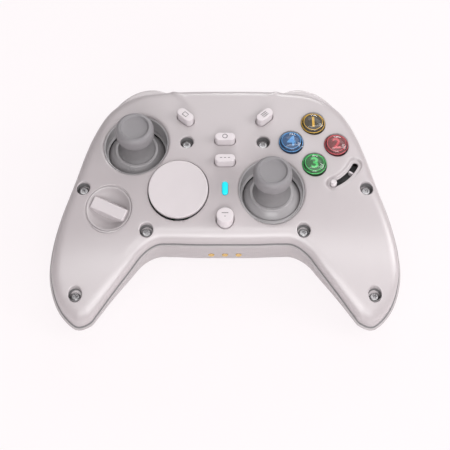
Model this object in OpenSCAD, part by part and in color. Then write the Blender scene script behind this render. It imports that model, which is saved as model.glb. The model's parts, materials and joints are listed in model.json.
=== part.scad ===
// Two-handed gamepad lying on its back.
// X runs to the right hand, Y away from the player, Z up along the axes of sticks and buttons.
// The origin lies on the rest plane, under the middle of the outline.

/* [Housing] */
// Overall width over both grips
body_w = 154; // [150:1:160]
// Distance of the front plate's top edge from the middle
top_y = 48.4; // [48:0.1:49]
// Distance of the front plate's lower middle edge from the middle
arch_y = -21.9; // [-23:0.1:-21.5]
// Distance of the plate's grip ends from the middle
tip_y = -50.2; // [-52:0.1:-49.5]
// Height of the front plate at the middle of its top edge
face_top = 46; // [45.5:0.1:47]
// Radius of the plate's curve from top edge to grips
face_radius = 273; // [250:1:320]
// Radius of the plate's curve from side to side
cross_radius = 385; // [350:1:450]
// Extra fall of the plate at the grip ends
grip_droop = 10.1; // [9:0.1:11]
// Wall of the front plate
plate_wall = 2.2; // [1.8:0.1:2.6]
// Depth of the plate's edge, from its curve to the seam
plate_edge = 5.5; // [5.2:0.1:6]
// Fall of the rounded edge of the plate
edge_drop = 3.2; // [2.5:0.1:3.6]
// Width of the rounded edge of the plate
edge_round = 7; // [5:0.5:9]
// Gap of the seam between the plate and the rear shell
seam = 0.3; // [0.2:0.05:0.4]
// How far the rear shell stands out past the plate
rear_lip = 1.2; // [0.9:0.1:1.4]
// Wall of the rear shell
rear_wall = 2.4; // [2:0.1:2.6]
// Height of the rear shell's underside over the rest plane
rear_rise = 1; // [0.8:0.1:1.4]
// Width of the rear shell's rounded sides
rear_round = 16; // [14:0.5:17]

/* [Sticks] */
// Distance of the left stick and of the face buttons from the middle
upper_x = 39.2; // [39:0.1:39.6]
// Place of the left stick and of the face buttons, from top to bottom
upper_y = 21.1; // [20.8:0.1:21.4]
// Distance of the direction pad and of the right stick from the middle
lower_x = 20.3; // [20.1:0.1:20.6]
// Place of the direction pad and of the right stick, from top to bottom
lower_y = -1.2; // [-1.6:0.1:-0.9]
// Height of the sticks' pivots
pivot_z = 27; // [26.8:0.1:27.2]
// Height of a stick's top over its pivot
stick_h = 28.5; // [27:0.1:30]
// Radius of a stick's cap
cap_r = 8.3; // [7.6:0.1:8.8]
// Radius of a stick's domed skirt
dome_r = 14.4; // [14.2:0.1:14.5]
// Wall of a stick's domed skirt
dome_wall = 1.2; // [1:0.1:1.4]
// Radius of the wells in the plate
well_r = 14.45; // [14.4:0.05:14.6]
// Wall of the wear rings in the wells
ring_wall = 0.7; // [0.5:0.1:0.8]
// Radius of a stick's steel shaft
shaft_r = 1.4; // [1.2:0.1:1.5]
// Travel of a stick's click
click_travel = 0.6; // [0.4:0.1:0.7]

/* [Buttons] */
// Radius of a face button's clear cap
face_r = 5.1; // [4.8:0.1:5.2]
// Distance of each face button from the middle of the four
face_spread = 10.05; // [9.9:0.05:10.3]
// Height of a face button over the plate
face_proud = 3.7; // [3:0.1:4]
// Travel of a face button
face_travel = 1.4; // [1:0.1:1.6]
// Wall of a face button's clear cap
cap_wall = 0.8; // [0.6:0.1:1]
// Gap between a button and its hole
hole_gap = 0.3; // [0.25:0.05:0.4]
// Length of the home and function buttons
small_l = 8.8; // [8:0.1:9.4]
// Width of the home and function buttons
small_w = 3.8; // [3.4:0.1:4.2]
// Height of the small buttons over the plate
small_proud = 3.6; // [3:0.1:4]
// Travel of the small buttons
small_travel = 0.6; // [0.4:0.1:0.8]
// Radius of the turbo button
turbo_r = 3.7; // [3.4:0.1:4]
// Radius of the direction pad
dpad_r = 12.9; // [12.6:0.1:13]
// Height of the direction pad over the plate
dpad_proud = 0.9; // [0.6:0.1:1.2]
// Gap round the direction pad
dpad_gap = 0.5; // [0.45:0.05:0.6]
// Radius of the mode dial
dial_r = 10; // [9.6:0.1:10.2]
// Depth of the mode dial's dish
dial_dish = 4.2; // [3.6:0.1:4.6]
// Width of the mode dial's finger bar
dial_bar_w = 5.2; // [4.6:0.1:5.6]
// Radius of the slider's arc round the face buttons
slider_arc = 20.1; // [19.9:0.1:20.3]
// Angle of the slider's travel
slider_sweep = 41; // [36:1:42]

/* [Fasteners and inside] */
// Radius of a housing screw's shank
screw_r = 1.25; // [1:0.05:1.4]
// Radius of a housing screw's head
screw_head_r = 2.1; // [1.9:0.1:2.3]
// Radius of the counterbores over the screws
counterbore_r = 2.9; // [2.7:0.1:3.1]
// Depth of the screw heads under the plate
screw_depth = 4.2; // [3.8:0.1:4.6]
// Height of the circuit board's upper face
board_top = 19.5; // [19.3:0.1:19.6]
// Thickness of the circuit board
board_t = 1.6; // [1.2:0.1:1.8]
// Running clearance of a pin in its bore
pin_fit = 0.05; // [0.03:0.01:0.08]
// Radius of a trigger's pin
trigger_pin_r = 1.5; // [1.3:0.1:1.7]

/* [Hidden] */
$fn = 48;

shell_white = [0.87, 0.85, 0.86];
key_white = [0.93, 0.90, 0.91];
stick_grey = [0.58, 0.57, 0.58];
ring_grey = [0.33, 0.33, 0.34];
inner_grey = [0.30, 0.31, 0.33];
steel = [0.75, 0.75, 0.77];
rubber_grey = [0.62, 0.63, 0.65];

// Outline of the front plate: pairs of upper and lower edge points, from the middle to the right grip
half_w = body_w / 2 - rear_lip;
stations = [
  [[0, top_y], [0, arch_y]],
  [[23.6, top_y], [12.8, arch_y + 0.1]],
  [[39.4, top_y - 1.5], [23.6, arch_y + 0.6]],
  [[half_w - 24.6, top_y - 8.7], [half_w - 45.8, arch_y + 0.3]],
  [[half_w - 16.7, top_y - 22.3], [half_w - 39.8, arch_y - 3.3]],
  [[half_w - 10.3, top_y - 41.5], [half_w - 34.4, tip_y + 19]],
  [[half_w - 4.4, tip_y + 40.8], [half_w - 29, tip_y + 13.2]],
  [[half_w - 0.9, tip_y + 27.5], [half_w - 24.1, tip_y + 8]],
  [[half_w - 0.2, tip_y + 16.7], [half_w - 19.7, tip_y + 3.4]],
  [[half_w - 3.4, tip_y + 6.6], [half_w - 16.2, tip_y + 0.5]]
];
tip = [half_w - 10.2, tip_y];
tip_at = len(stations);
edge_points = concat(
  [for (s = stations) s[0]],
  [tip],
  [for (k = [tip_at - 1:-1:0]) stations[k][1]]
);
edge_end = len(edge_points) - 1;
rib_split = 3;
ribs = tip_at * rib_split;
rows = 14;

function mirrored(p) = [-p[0], p[1]];
function edge_point(k) =
  k < 0 ? mirrored(edge_points[-k])
  : k > edge_end ? mirrored(edge_points[2 * edge_end - k])
  : edge_points[k];
function blend4(a, b, c, d, t) =
  0.5 * (2 * b + (c - a) * t + (2 * a - 5 * b + 4 * c - d) * t * t + (3 * b - a - 3 * c + d) * t * t * t);
// Point of the plate's outline at station number s, counted on past the tip to the lower middle
function outline(s) =
  let (k = min(floor(s), edge_end - 1))
  blend4(edge_point(k - 1), edge_point(k), edge_point(k + 1), edge_point(k + 2), s - k);
function tangent(s) =
  let (v = outline(min(s + 0.02, edge_end)) - outline(max(s - 0.02, 0)))
  v / norm(v);
function edge_at(s, out) = let (t = tangent(s)) outline(s) + out * [-t[1], t[0]];
function turn2(a, b) = abs(a[0] * b[1] - a[1] * b[0]);

// Height of the plate's curve, its slopes, and the seam under it
function crown(x, y) =
  face_top - pow(top_y - y, 2) / (2 * face_radius) - grip_droop * pow((top_y - y) / 96, 4)
  - x * x / (2 * cross_radius);
function slope_y(y) = (top_y - y) / face_radius + grip_droop * 4 * pow((top_y - y) / 96, 3) / 96;
function slope_x(x) = -x / cross_radius;
function seam_z(x, y) = crown(x, y) - plate_edge;
function rounding(d, r) = d >= r ? 1 : sqrt(1 - pow(1 - max(d, 0) / r, 2));
function plate_z(x, y, d) = crown(x, y) - edge_drop * (1 - rounding(d, edge_round));
rear_lift = 0.01;
function floor_z(y) = rear_rise + rear_lift * pow(max(0, y - 20), 2);
function rear_z(x, y, d, wall) =
  let (rim = seam_z(x, y) - seam)
  rim - rounding(d, rear_round) * (rim - floor_z(y) - wall);

// Grid of points over the plan outline, moved out by a distance, with heights from a function
function sheet(out, height) = [
  for (i = [-ribs:ribs])
    let (
      s = abs(i) / rib_split,
      side = i < 0 ? -1 : 1,
      a = edge_at(s, out),
      b = edge_at(edge_end - s, out),
      across = b - a,
      along = norm(across),
      lean_a = along > 0 ? turn2(across / along, tangent(s)) : 1,
      lean_b = along > 0 ? turn2(across / along, tangent(edge_end - s)) : 1
    )
    each abs(i) == ribs
      ? [[side * a[0], a[1], height(a[0], a[1], 0)]]
      : [
          for (j = [0:rows])
            let (
              v = (1 - cos(180 * j / rows)) / 2,
              p = a + across * v,
              d = min(along * v * lean_a, along * (1 - v) * lean_b)
            )
            [side * p[0], p[1], height(p[0], p[1], d)]
        ]
];
function at(i, j) =
  i == -ribs ? 0 : i == ribs ? 1 + (2 * ribs - 1) * (rows + 1) : 1 + (i + ribs - 1) * (rows + 1) + j;
sheet_size = at(ribs, 0) + 1;
rim_loop = concat(
  [for (i = [-ribs + 1:ribs - 1]) at(i, 0)],
  [at(ribs, 0)],
  [for (i = [ribs - 1:-1:-ribs + 1]) at(i, rows)],
  [at(-ribs, 0)]
);
function whole(f) = f[0] != f[1] && f[1] != f[2] && f[2] != f[0];
function sheet_faces(base, flip) = [
  for (i = [-ribs:ribs - 1], j = [0:rows - 1])
    let (
      a = base + at(i, j),
      b = base + at(i + 1, j),
      c = base + at(i + 1, j + 1),
      d = base + at(i, j + 1),
      pair = flip ? [[a, c, b], [a, d, c]] : [[a, b, c], [a, c, d]]
    )
    for (f = pair) if (whole(f)) f
];
function strip_faces(a, b, flip) = [
  for (k = [0:len(a) - 1])
    let (
      n = (k + 1) % len(a),
      near = flip ? [a[k], b[n], b[k]] : [a[k], b[k], b[n]],
      far = flip ? [a[k], a[n], b[n]] : [a[k], b[n], a[n]]
    )
    for (f = [near, far]) f
];
function shifted(loop, base) = [for (k = loop) k + base];
function count_on(n, base) = [for (k = [0:n - 1]) base + k];

// Shell between an outer and an inner sheet, closed by rims along the given loops of points
module skin(outer, rims, inner, flip) {
  loop_n = len(rim_loop);
  rim_points = [for (r = rims) each r];
  inner_base = sheet_size + len(rim_points);
  loops = concat(
    [rim_loop],
    [for (k = [0:1:len(rims) - 1]) count_on(loop_n, sheet_size + k * loop_n)],
    [shifted(rim_loop, inner_base)]
  );
  polyhedron(
    points = concat(outer, rim_points, inner),
    faces = concat(
      sheet_faces(0, flip),
      [for (k = [0:len(loops) - 2]) each strip_faces(loops[k], loops[k + 1], flip)],
      sheet_faces(inner_base, !flip)
    )
  );
}
function dropped(points) = [for (k = rim_loop) let (p = points[k]) [p[0], p[1], seam_z(p[0], p[1])]];

// Places on the plate: upright, or square to its curve
module upright(x, y) {
  translate([x, y, crown(x, y)]) children();
}
module square_on(x, y) {
  tilt = atan(-slope_x(x));
  translate([x, y, crown(x, y)]) rotate([atan(slope_y(y) * cos(tilt)), tilt, 0]) children();
}
module both_sides() {
  children();
  mirror([1, 0, 0]) children();
}
module stadium(l, w) {
  square([l - w, w], center = true);
  translate([(l - w) / 2, 0]) circle(w / 2);
  translate([(w - l) / 2, 0]) circle(w / 2);
}

// Screws: places on the right half, used on both sides
screw_spots = [[16.8, 21], [34, -17.8], [half_w - 13.8, 1.9], [half_w - 10.8, tip_y + 9.4]];
cup_wall = 1.4;
cup_floor = 1.6;
cup_sides = 20;
shank_l = 9;
post_gap = 0.2;
cup_r = counterbore_r + cup_wall;
post_r = 2.6;
function seat_z(p) = crown(p[0], p[1]) - screw_depth;
function post_top(p) = seat_z(p) - cup_floor - post_gap;
function edge_distance(p) = min([for (s = [0:0.2:edge_end]) norm(p - outline(s))]);
function post_base(p, r) = rear_z(p[0], p[1], edge_distance(p) + rear_lip - r, rear_wall / 2);

// Cup under the plate that takes a screw head: its top follows the plate
module screw_cup(p) {
  ring = [for (k = [0:cup_sides - 1]) p + cup_r * [cos(360 * k / cup_sides), sin(360 * k / cup_sides)]];
  top = [for (q = ring) [q[0], q[1], plate_z(q[0], q[1], edge_distance(q)) - plate_wall / 2]];
  base = [for (q = ring) [q[0], q[1], seat_z(p) - cup_floor]];
  peak = [p[0], p[1], crown(p[0], p[1]) - plate_wall / 2];
  polyhedron(
    points = concat(top, base, [peak]),
    faces = concat(
      [for (k = [0:cup_sides - 1]) [(k + 1) % cup_sides, k, 2 * cup_sides]],
      strip_faces(count_on(cup_sides, cup_sides), count_on(cup_sides, 0), false),
      [[for (k = [0:cup_sides - 1]) cup_sides + k]]
    )
  );
}

// Small buttons: place, turn, length and width of each
menu_turn = 42;
menu_l = 8.3;
menu_w = 4.2;
menu_spot = [17.5, 32.6];
home_spot = [0, 21.3];
function_spot = [0, 11];
turbo_spot = [0, -14.1];
light_spot = [0, -1.5];
light_l = 6;
light_w = 2.5;
light_gap = 0.1;
dial_spot = [25.2 - half_w, -8];
face_spots = [[0, 1], [1, 0], [0, -1], [-1, 0]];
function face_spot(k) = [upper_x, upper_y] + face_spread * face_spots[k];
through = 30;

module slot_plan(start, sweep, half) {
  rotate([0, 0, start]) rotate_extrude(angle = sweep)
    translate([slider_arc - half, 0]) square([2 * half, through]);
  for (a = [start, start + sweep])
    rotate([0, 0, a]) translate([slider_arc, 0, 0]) cylinder(r = half, h = through);
}
slider_start = -66;
slot_half = 1.3;
recess_half = 3;
recess_depth = 0.9;
slider_mid = slider_start + slider_sweep / 2;
slider_spot = [upper_x, upper_y] + slider_arc * [cos(slider_mid), sin(slider_mid)];
slider_z = crown(slider_spot[0], slider_spot[1]) - recess_depth;

module plate_openings() {
  for (x = [[-upper_x, upper_y], [lower_x, lower_y]])
    upright(x[0], x[1]) cylinder(r = well_r, h = through, center = true);
  for (k = [0:3]) let (p = face_spot(k))
    upright(p[0], p[1]) cylinder(r = face_r + hole_gap, h = through, center = true);
  for (p = [home_spot, function_spot])
    upright(p[0], p[1]) linear_extrude(through, center = true)
      stadium(small_l + 2 * hole_gap, small_w + 2 * hole_gap);
  both_sides() upright(menu_spot[0], menu_spot[1]) rotate([0, 0, menu_turn])
    linear_extrude(through, center = true) stadium(menu_l + 2 * hole_gap, menu_w + 2 * hole_gap);
  upright(turbo_spot[0], turbo_spot[1]) cylinder(r = turbo_r + hole_gap, h = through, center = true);
  square_on(light_spot[0], light_spot[1]) rotate([0, 0, 90])
    linear_extrude(through, center = true) stadium(light_l + 2 * light_gap, light_w + 2 * light_gap);
  square_on(-lower_x, lower_y) cylinder(r = dpad_r + dpad_gap, h = through, center = true);
  square_on(dial_spot[0], dial_spot[1]) cylinder(r = dial_r + hole_gap, h = through, center = true);
  translate([upper_x, upper_y, slider_z]) slot_plan(slider_start, slider_sweep, recess_half);
  translate([upper_x, upper_y, slider_z - through / 2]) slot_plan(slider_start, slider_sweep, slot_half);
}
module front_shell() {
  outer = sheet(0, function(x, y, d) plate_z(x, y, d));
  inner = sheet(-plate_wall, function(x, y, d) plate_z(x, y, d) - plate_wall);
  color(shell_white) difference() {
    union() {
      skin(outer, [dropped(outer), dropped(inner)], inner, false);
      both_sides() for (p = screw_spots) screw_cup(p);
    }
    both_sides() for (p = screw_spots) {
      translate([p[0], p[1], seat_z(p)]) cylinder(r = counterbore_r, h = through);
      translate([p[0], p[1], seat_z(p) - through / 2]) cylinder(r = screw_r + post_gap, h = through);
    }
    plate_openings();
  }
}

// Rear shell
board_posts = [[45, 12], [33, -6]];
board_post_r = 2.5;
frame_post = [14, 42.2];
frame_z = 28.6;
frame_t = 1.6;
pocket_x = [21.4, 48.6];
pocket_y = 38.9;
bumper_s = [1, 3.25];
bumper_low = 30.7;
bumper_side_gap = 0.35;
can_r = 8.5;
can_y = -12;
can_z = 15;
can_x = [half_w - 26.3, half_w - 15.3];
usb_w = 8.9;
usb_h = 3.2;
usb_z = frame_z + frame_t + usb_h / 2;
contact_r = 1.3;
contact_z = 20;
contact_pitch = 6;
pad_size = [52, 24];
pad_round = 5;
pad_y = 5.5;

module band(s0, s1, low, high, n) {
  polygon(concat(
    [for (k = [0:n]) edge_at(s0 + (s1 - s0) * k / n, low)],
    [for (k = [n:-1:0]) edge_at(s0 + (s1 - s0) * k / n, high)]
  ));
}
module rear_post(p, r, top) {
  base = post_base(p, r);
  translate([p[0], p[1], base]) cylinder(r = r, h = top - base);
}
module rest_pad() {
  translate([0, pad_y, 0]) linear_extrude(rear_rise + rear_wall / 2) {
    square([pad_size[0] - 2 * pad_round, pad_size[1]], center = true);
    square([pad_size[0], pad_size[1] - 2 * pad_round], center = true);
    for (x = [-1, 1], y = [-1, 1])
      translate([x * (pad_size[0] / 2 - pad_round), y * (pad_size[1] / 2 - pad_round)]) circle(pad_round);
  }
}
module rear_shell() {
  outer = sheet(rear_lip, function(x, y, d) rear_z(x, y, d, 0));
  inner = sheet(rear_lip - rear_wall, function(x, y, d) rear_z(x, y, d, rear_wall));
  color(shell_white) difference() {
    union() {
      skin(outer, [], inner, true);
      rest_pad();
      both_sides() {
        for (p = screw_spots) rear_post(p, post_r, post_top(p));
        for (p = board_posts) rear_post(p, board_post_r, board_top - board_t - pin_fit);
        rear_post(frame_post, post_r, frame_z);
        rear_post([(can_x[0] + can_x[1]) / 2, can_y], post_r, can_z - can_r - pin_fit);
      }
    }
    both_sides() {
      for (p = screw_spots)
        translate([p[0], p[1], seat_z(p) - shank_l - 1]) cylinder(r = screw_r + pin_fit, h = through);
      translate([pocket_x[0], pocket_y, -1])
        cube([pocket_x[1] - pocket_x[0], 30, bumper_low - bumper_side_gap + 1]);
      translate([0, 0, bumper_low - bumper_side_gap])
        linear_extrude(through) band(bumper_s[0] - 0.06, bumper_s[1] + 0.16, -4.6, 9, 16);
    }
    translate([0, top_y, usb_z]) rotate([90, 0, 0]) linear_extrude(20, center = true)
      stadium(usb_w + 2 * hole_gap, usb_h + 2 * hole_gap);
    for (k = [-1:1]) translate([k * contact_pitch, arch_y + 4, contact_z]) rotate([90, 0, 0])
      cylinder(r = contact_r + pin_fit, h = 8);
  }
}

// Inner chassis with the ears of the triggers' pins and the curtain behind the triggers
trigger_y = 42.4;
trigger_z = 24.8;
trigger_x = [24.8, 44.2];
ear_t = 1.6;
ear_gap = 0.6;
ear_x = [trigger_x[0] - ear_gap - ear_t, trigger_x[1] + ear_gap];
ear_r = 3.4;
frame_half = ear_x[1] + ear_t;
curtain_y = 37.75;
curtain_t = 0.8;
curtain_low = 11.2;
bumper_pin_r = 1.2;
bumper_pin = [24.5, 44.5];
module mid_frame() {
  color(inner_grey) difference() {
    union() {
      translate([0, 0, frame_z]) linear_extrude(frame_t) both_sides() polygon([
        [0, curtain_y], [frame_half, curtain_y], [frame_half, trigger_y],
        [frame_half - 3.4, bumper_pin[1] + 0.5],
        [bumper_pin[0] + 3.5, bumper_pin[1] + 2.5], [pocket_x[0] + 0.7, bumper_pin[1] + 2.5],
        [pocket_x[0] + 0.7, bumper_pin[1] + 0.7], [0, bumper_pin[1] + 0.7]
      ]);
      translate([0, curtain_y + curtain_t, 0]) rotate([90, 0, 0]) linear_extrude(curtain_t) both_sides()
        polygon([
          [0, curtain_low], [frame_half - 16.4, curtain_low], [frame_half, curtain_low + 11.8],
          [frame_half, frame_z + 0.1], [0, frame_z + 0.1]
        ]);
      both_sides() for (x = ear_x) translate([x, 0, 0]) rotate([90, 0, 90]) linear_extrude(ear_t) {
        translate([trigger_y, trigger_z]) circle(ear_r);
        translate([trigger_y - ear_r, trigger_z]) square([2 * ear_r, frame_z - trigger_z + 0.1]);
        translate([curtain_y, trigger_z - ear_r]) square([trigger_y - curtain_y, 2 * ear_r]);
      }
    }
    both_sides() {
      translate([0, trigger_y, trigger_z]) rotate([0, 90, 0]) cylinder(r = trigger_pin_r + pin_fit, h = 60);
      translate([bumper_pin[0], bumper_pin[1], 0]) cylinder(r = bumper_pin_r + pin_fit, h = 60);
    }
  }
}

// Circuit board, with holes for the tall screw posts
board_hole = 0.5;
board_half = half_w - 23.8;
board_mid = 6;
board_back = 28.5;
board_lap = 0.1;
board_tab = [30, 46, 34];
board_fields = [
  [board_half, board_mid, board_back], [24, board_mid, 36],
  [36, -11, board_mid + board_lap], [29, -17.4, board_mid + board_lap]
];
module main_board() {
  color([0.10, 0.32, 0.20]) translate([0, 0, board_top - board_t]) linear_extrude(board_t) difference() {
    union() {
      for (f = board_fields) translate([-f[0], f[1]]) square([2 * f[0], f[2] - f[1]]);
      for (x = [-board_tab[1], board_tab[0]]) translate([x, board_back - board_lap])
        square([board_tab[1] - board_tab[0], board_tab[2] - board_back + board_lap]);
    }
    for (x = [-1, 1]) translate([x * screw_spots[0][0], screw_spots[0][1]]) circle(post_r + board_hole);
  }
}
battery_gap = 0.6;
battery_size = [56, 21.5, 8.5];
battery_y = -4;
module battery_pack() {
  z = rear_rise + rear_wall + battery_gap;
  color([0.25, 0.35, 0.55]) translate([-battery_size[0] / 2, battery_y, z]) cube(battery_size);
}

// Stick module: base box, gimbal ring, hub, shaft and cap, about the pivot
base_half = 7.5;
base_wall = 0.9;
trunnion_r = 1;
hub_pin_r = 0.8;
yoke_r = 6.2;
yoke_in = 4.2;
yoke_h = 3.2;
hub_r = 3;
hub_h = 4.4;
shaft_low = 3.2;
tilt_edge = 85;
ring_r = well_r - pin_fit;
dome_gap = 0.4;
rim_drop = 0.7;
flange_gap = 1.5;
flange_r = well_r + 1.6;
flange_t = 1.2;
module at_stick(side) {
  p = side < 0 ? [-upper_x, upper_y] : [lower_x, lower_y];
  translate([p[0], p[1], pivot_z]) children();
}
module stick_ring(side) {
  p = side < 0 ? [-upper_x, upper_y] : [lower_x, lower_y];
  bore = ring_r - ring_wall;
  low = pivot_z + sqrt(pow(dome_r + dome_gap, 2) - bore * bore);
  color(ring_grey) difference() {
    union() {
      translate([p[0], p[1], low]) cylinder(r = ring_r, h = 16);
      square_on(p[0], p[1]) translate([0, 0, -plate_wall - flange_gap - flange_t])
        cylinder(r = flange_r, h = flange_t);
    }
    translate([p[0], p[1], pivot_z]) cylinder(r = bore, h = 40);
    square_on(p[0], p[1]) translate([-25, -25, -rim_drop]) cube([50, 50, 20]);
  }
}
module stick_base(side) {
  color(inner_grey) at_stick(side) {
    low = board_top - pivot_z;
    difference() {
      translate([-base_half, -base_half, low]) cube([2 * base_half, 2 * base_half, 4 - low]);
      translate([base_wall - base_half, base_wall - base_half, low + 1])
        cube([2 * (base_half - base_wall), 2 * (base_half - base_wall), 20]);
      rotate([0, 90, 0]) cylinder(r = trunnion_r + pin_fit, h = 40, center = true);
    }
    translate([0, 0, low + 0.5]) cylinder(r = 2.2, h = -shaft_low - click_travel - 0.3 - low - 0.5);
  }
}
module stick_yoke(side) {
  color(steel) at_stick(side) difference() {
    union() {
      cylinder(r = yoke_r, h = yoke_h, center = true);
      rotate([0, 90, 0]) cylinder(r = trunnion_r, h = 2 * base_half - 0.2, center = true);
    }
    cylinder(r = yoke_in, h = 10, center = true);
    rotate([90, 0, 0]) cylinder(r = hub_pin_r + pin_fit, h = 40, center = true);
  }
}
module stick_hub(side) {
  color(key_white) at_stick(side) difference() {
    union() {
      cylinder(r = hub_r, h = hub_h, center = true);
      rotate([90, 0, 0]) cylinder(r = hub_pin_r, h = 2 * yoke_r - 0.6, center = true);
    }
    cylinder(r = shaft_r + pin_fit, h = 20, center = true);
  }
}
cap_seat = 25;
module stick_shaft(side) {
  color(steel) at_stick(side) translate([0, 0, -shaft_low]) cylinder(r = shaft_r, h = shaft_low + cap_seat);
}
module stick_cap(side) {
  bore = shaft_r + pin_fit / 2;
  inner = dome_r - dome_wall;
  neck = [[8.6, 11.6], [7.6, 13.2], [6.9, 15.2], [6.4, 18], [6.4, 20.6]];
  cap_low = stick_h - 6.4;
  rim = [
    [cap_r - 0.4, cap_low], [cap_r, cap_low + 0.6], [cap_r, stick_h - 1.2], [cap_r - 0.35, stick_h - 0.35]
  ];
  top = [
    [cap_r - 1.1, stick_h], [cap_r - 1.8, stick_h - 0.15], [cap_r - 2.6, stick_h - 0.6], [0, stick_h - 1]
  ];
  color(stick_grey) at_stick(side) rotate_extrude() polygon(concat(
    [for (a = [tilt_edge:-4:41]) dome_r * [sin(a), cos(a)]],
    neck, rim, top,
    [[0, cap_seat], [bore, cap_seat]],
    [for (a = [asin(bore / inner):6:tilt_edge]) inner * [sin(a), cos(a)]],
    [inner * [sin(tilt_edge), cos(tilt_edge)]]
  ));
}

// Direction pad on a cross joint, in the plate's own slope
dpad_pin_r = 0.8;
dpad_top = 3;
dpad_skin = 1;
dpad_skirt = 1.4;
lug = [3.2, 4.8];
lug_half = 1.8;
fork_top = 1.2;
module at_dpad() {
  square_on(-lower_x, lower_y) translate([0, 0, dpad_proud - dpad_top]) children();
}
module lugs(low, high) {
  for (s = [-1, 1]) translate([s * (lug[0] + lug[1]) / 2, 0, (low + high) / 2])
    cube([lug[1] - lug[0], 2 * lug_half, high - low], center = true);
}
module dpad_post() {
  base = [-lower_x, lower_y, board_top];
  color(inner_grey) {
    difference() {
      at_dpad() {
        lugs(-4, fork_top);
        translate([-lug[1], -lug_half, -5.5]) cube([2 * lug[1], 2 * lug_half, 3]);
      }
      at_dpad() rotate([0, 90, 0]) cylinder(r = dpad_pin_r + pin_fit, h = 20, center = true);
    }
    translate(base) cylinder(r = 3, h = crown(-lower_x, lower_y) + dpad_proud - dpad_top - 4 - board_top);
  }
}
module dpad_saddle() {
  color(steel) at_dpad() {
    cube([4.4, 4.4, 3], center = true);
    rotate([0, 90, 0]) cylinder(r = dpad_pin_r, h = 2 * lug[1] - 0.2, center = true);
    rotate([90, 0, 0]) cylinder(r = dpad_pin_r, h = 2 * lug[1] - 0.2, center = true);
  }
}
module dpad_disc() {
  color(key_white) at_dpad() difference() {
    union() {
      difference() {
        translate([0, 0, dpad_top - dpad_skin - 1.6]) cylinder(r = dpad_r, h = dpad_skin + 1.6);
        translate([0, 0, dpad_top - dpad_skin - 5]) cylinder(r = dpad_r - dpad_skirt, h = 5);
      }
      rotate([0, 0, 90]) lugs(-1.5, dpad_top - dpad_skin + 0.1);
    }
    rotate([90, 0, 0]) cylinder(r = dpad_pin_r + pin_fit, h = 2 * lug[1] + 1, center = true);
  }
}
peg_out = 8.8;
peg_r = 1.8;
pad_t = 1;
module dpad_pad() {
  pivot = crown(-lower_x, lower_y) + dpad_proud - dpad_top;
  color(rubber_grey) translate([-lower_x, lower_y, board_top]) {
    difference() {
      cylinder(r = peg_out + 2.6, h = pad_t);
      translate([0, 0, -1]) cylinder(r = 5, h = pad_t + 2);
    }
    for (a = [0:90:270]) {
      spot = peg_out * [cos(a), sin(a)];
      lift = slope_y(lower_y) * spot[1] + slope_x(-lower_x) * spot[0];
      translate([spot[0], spot[1], 0]) cylinder(r = peg_r, h = pivot + lift - 0.2 - board_top);
    }
  }
}

// Face buttons: a clear cap over a coloured core
key_low = board_top + 6.3;
core_gap = 0.05;
dome_rise = 1.5;
face_colors = [[0.85, 0.62, 0.12], [0.80, 0.20, 0.24], [0.16, 0.66, 0.28], [0.20, 0.42, 0.78]];
module face_cap(k) {
  p = face_spot(k);
  low = -plate_wall - 2.2;
  side = face_proud - dome_rise;
  ball = (face_r * face_r + dome_rise * dome_rise) / (2 * dome_rise);
  arc = asin(face_r / ball);
  color(face_colors[k], 0.6) upright(p[0], p[1]) rotate_extrude() polygon(concat(
    [[face_r, low]],
    [for (a = [arc:-arc / 8:arc / 16]) [ball * sin(a), side + ball * (cos(a) - cos(arc))]],
    [[0, face_proud], [0, side - 0.4], [face_r - cap_wall, side - 0.4], [face_r - cap_wall, low]]
  ));
}
module face_core(k) {
  p = face_spot(k);
  top = face_proud - dome_rise - 0.4 - core_gap;
  low = key_low - crown(p[0], p[1]);
  color(face_colors[k]) upright(p[0], p[1]) {
    translate([0, 0, low]) cylinder(r = face_r - cap_wall - core_gap, h = top - low);
    translate([0, 0, -plate_wall - 2.2 - core_gap - 1]) cylinder(r = face_r + 0.7, h = 1);
  }
}
module face_pad() {
  reach = face_spread + 3.6;
  color(rubber_grey) translate([upper_x, upper_y, board_top]) {
    linear_extrude(pad_t) intersection() {
      rotate([0, 0, 45]) square(2 * reach * 0.92, center = true);
      square([2 * (board_half - upper_x), 26], center = true);
    }
    for (k = [0:3]) translate([face_spread * face_spots[k][0], face_spread * face_spots[k][1] * 0.9, 0])
      cylinder(r = 3.2, h = key_low - face_travel - 0.3 - board_top);
  }
}

// Small buttons and the pads under them
small_low = board_top + 5.6;
key_ease = 0.5;
key_sides = 32;
module tall_key(p, turn, l, w) {
  h = crown(p[0], p[1]) + small_proud - small_low;
  color(key_white) translate([p[0], p[1], small_low]) rotate([0, 0, turn]) {
    linear_extrude(h - 2 * key_ease) stadium(l, w);
    translate([0, 0, h - 2 * key_ease]) hull() {
      linear_extrude(key_ease) stadium(l, w, $fn = key_sides);
      linear_extrude(2 * key_ease) stadium(l - 2 * key_ease, w - 2 * key_ease, $fn = key_sides);
    }
  }
}
module left_menu_button() tall_key([-menu_spot[0], menu_spot[1]], -menu_turn, menu_l, menu_w);
module right_menu_button() tall_key(menu_spot, menu_turn, menu_l, menu_w);
module home_button() tall_key(home_spot, 0, small_l, small_w);
module function_button() tall_key(function_spot, 0, small_l, small_w);
module turbo_button() {
  low = small_low - crown(turbo_spot[0], turbo_spot[1]);
  color(key_white) upright(turbo_spot[0], turbo_spot[1]) translate([0, 0, low])
    rotate_extrude() polygon([
      [0, 0], [turbo_r, 0], [turbo_r, small_proud - low - key_ease],
      [turbo_r - key_ease, small_proud - low], [0, small_proud - low]
    ]);
}
module small_pads() {
  spots = [[-menu_spot[0], menu_spot[1]], menu_spot, home_spot, function_spot, turbo_spot];
  color(rubber_grey) for (p = spots) translate([p[0], p[1], board_top])
    cylinder(r = 2.4, h = small_low - small_travel - 0.3 - board_top);
}
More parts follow.
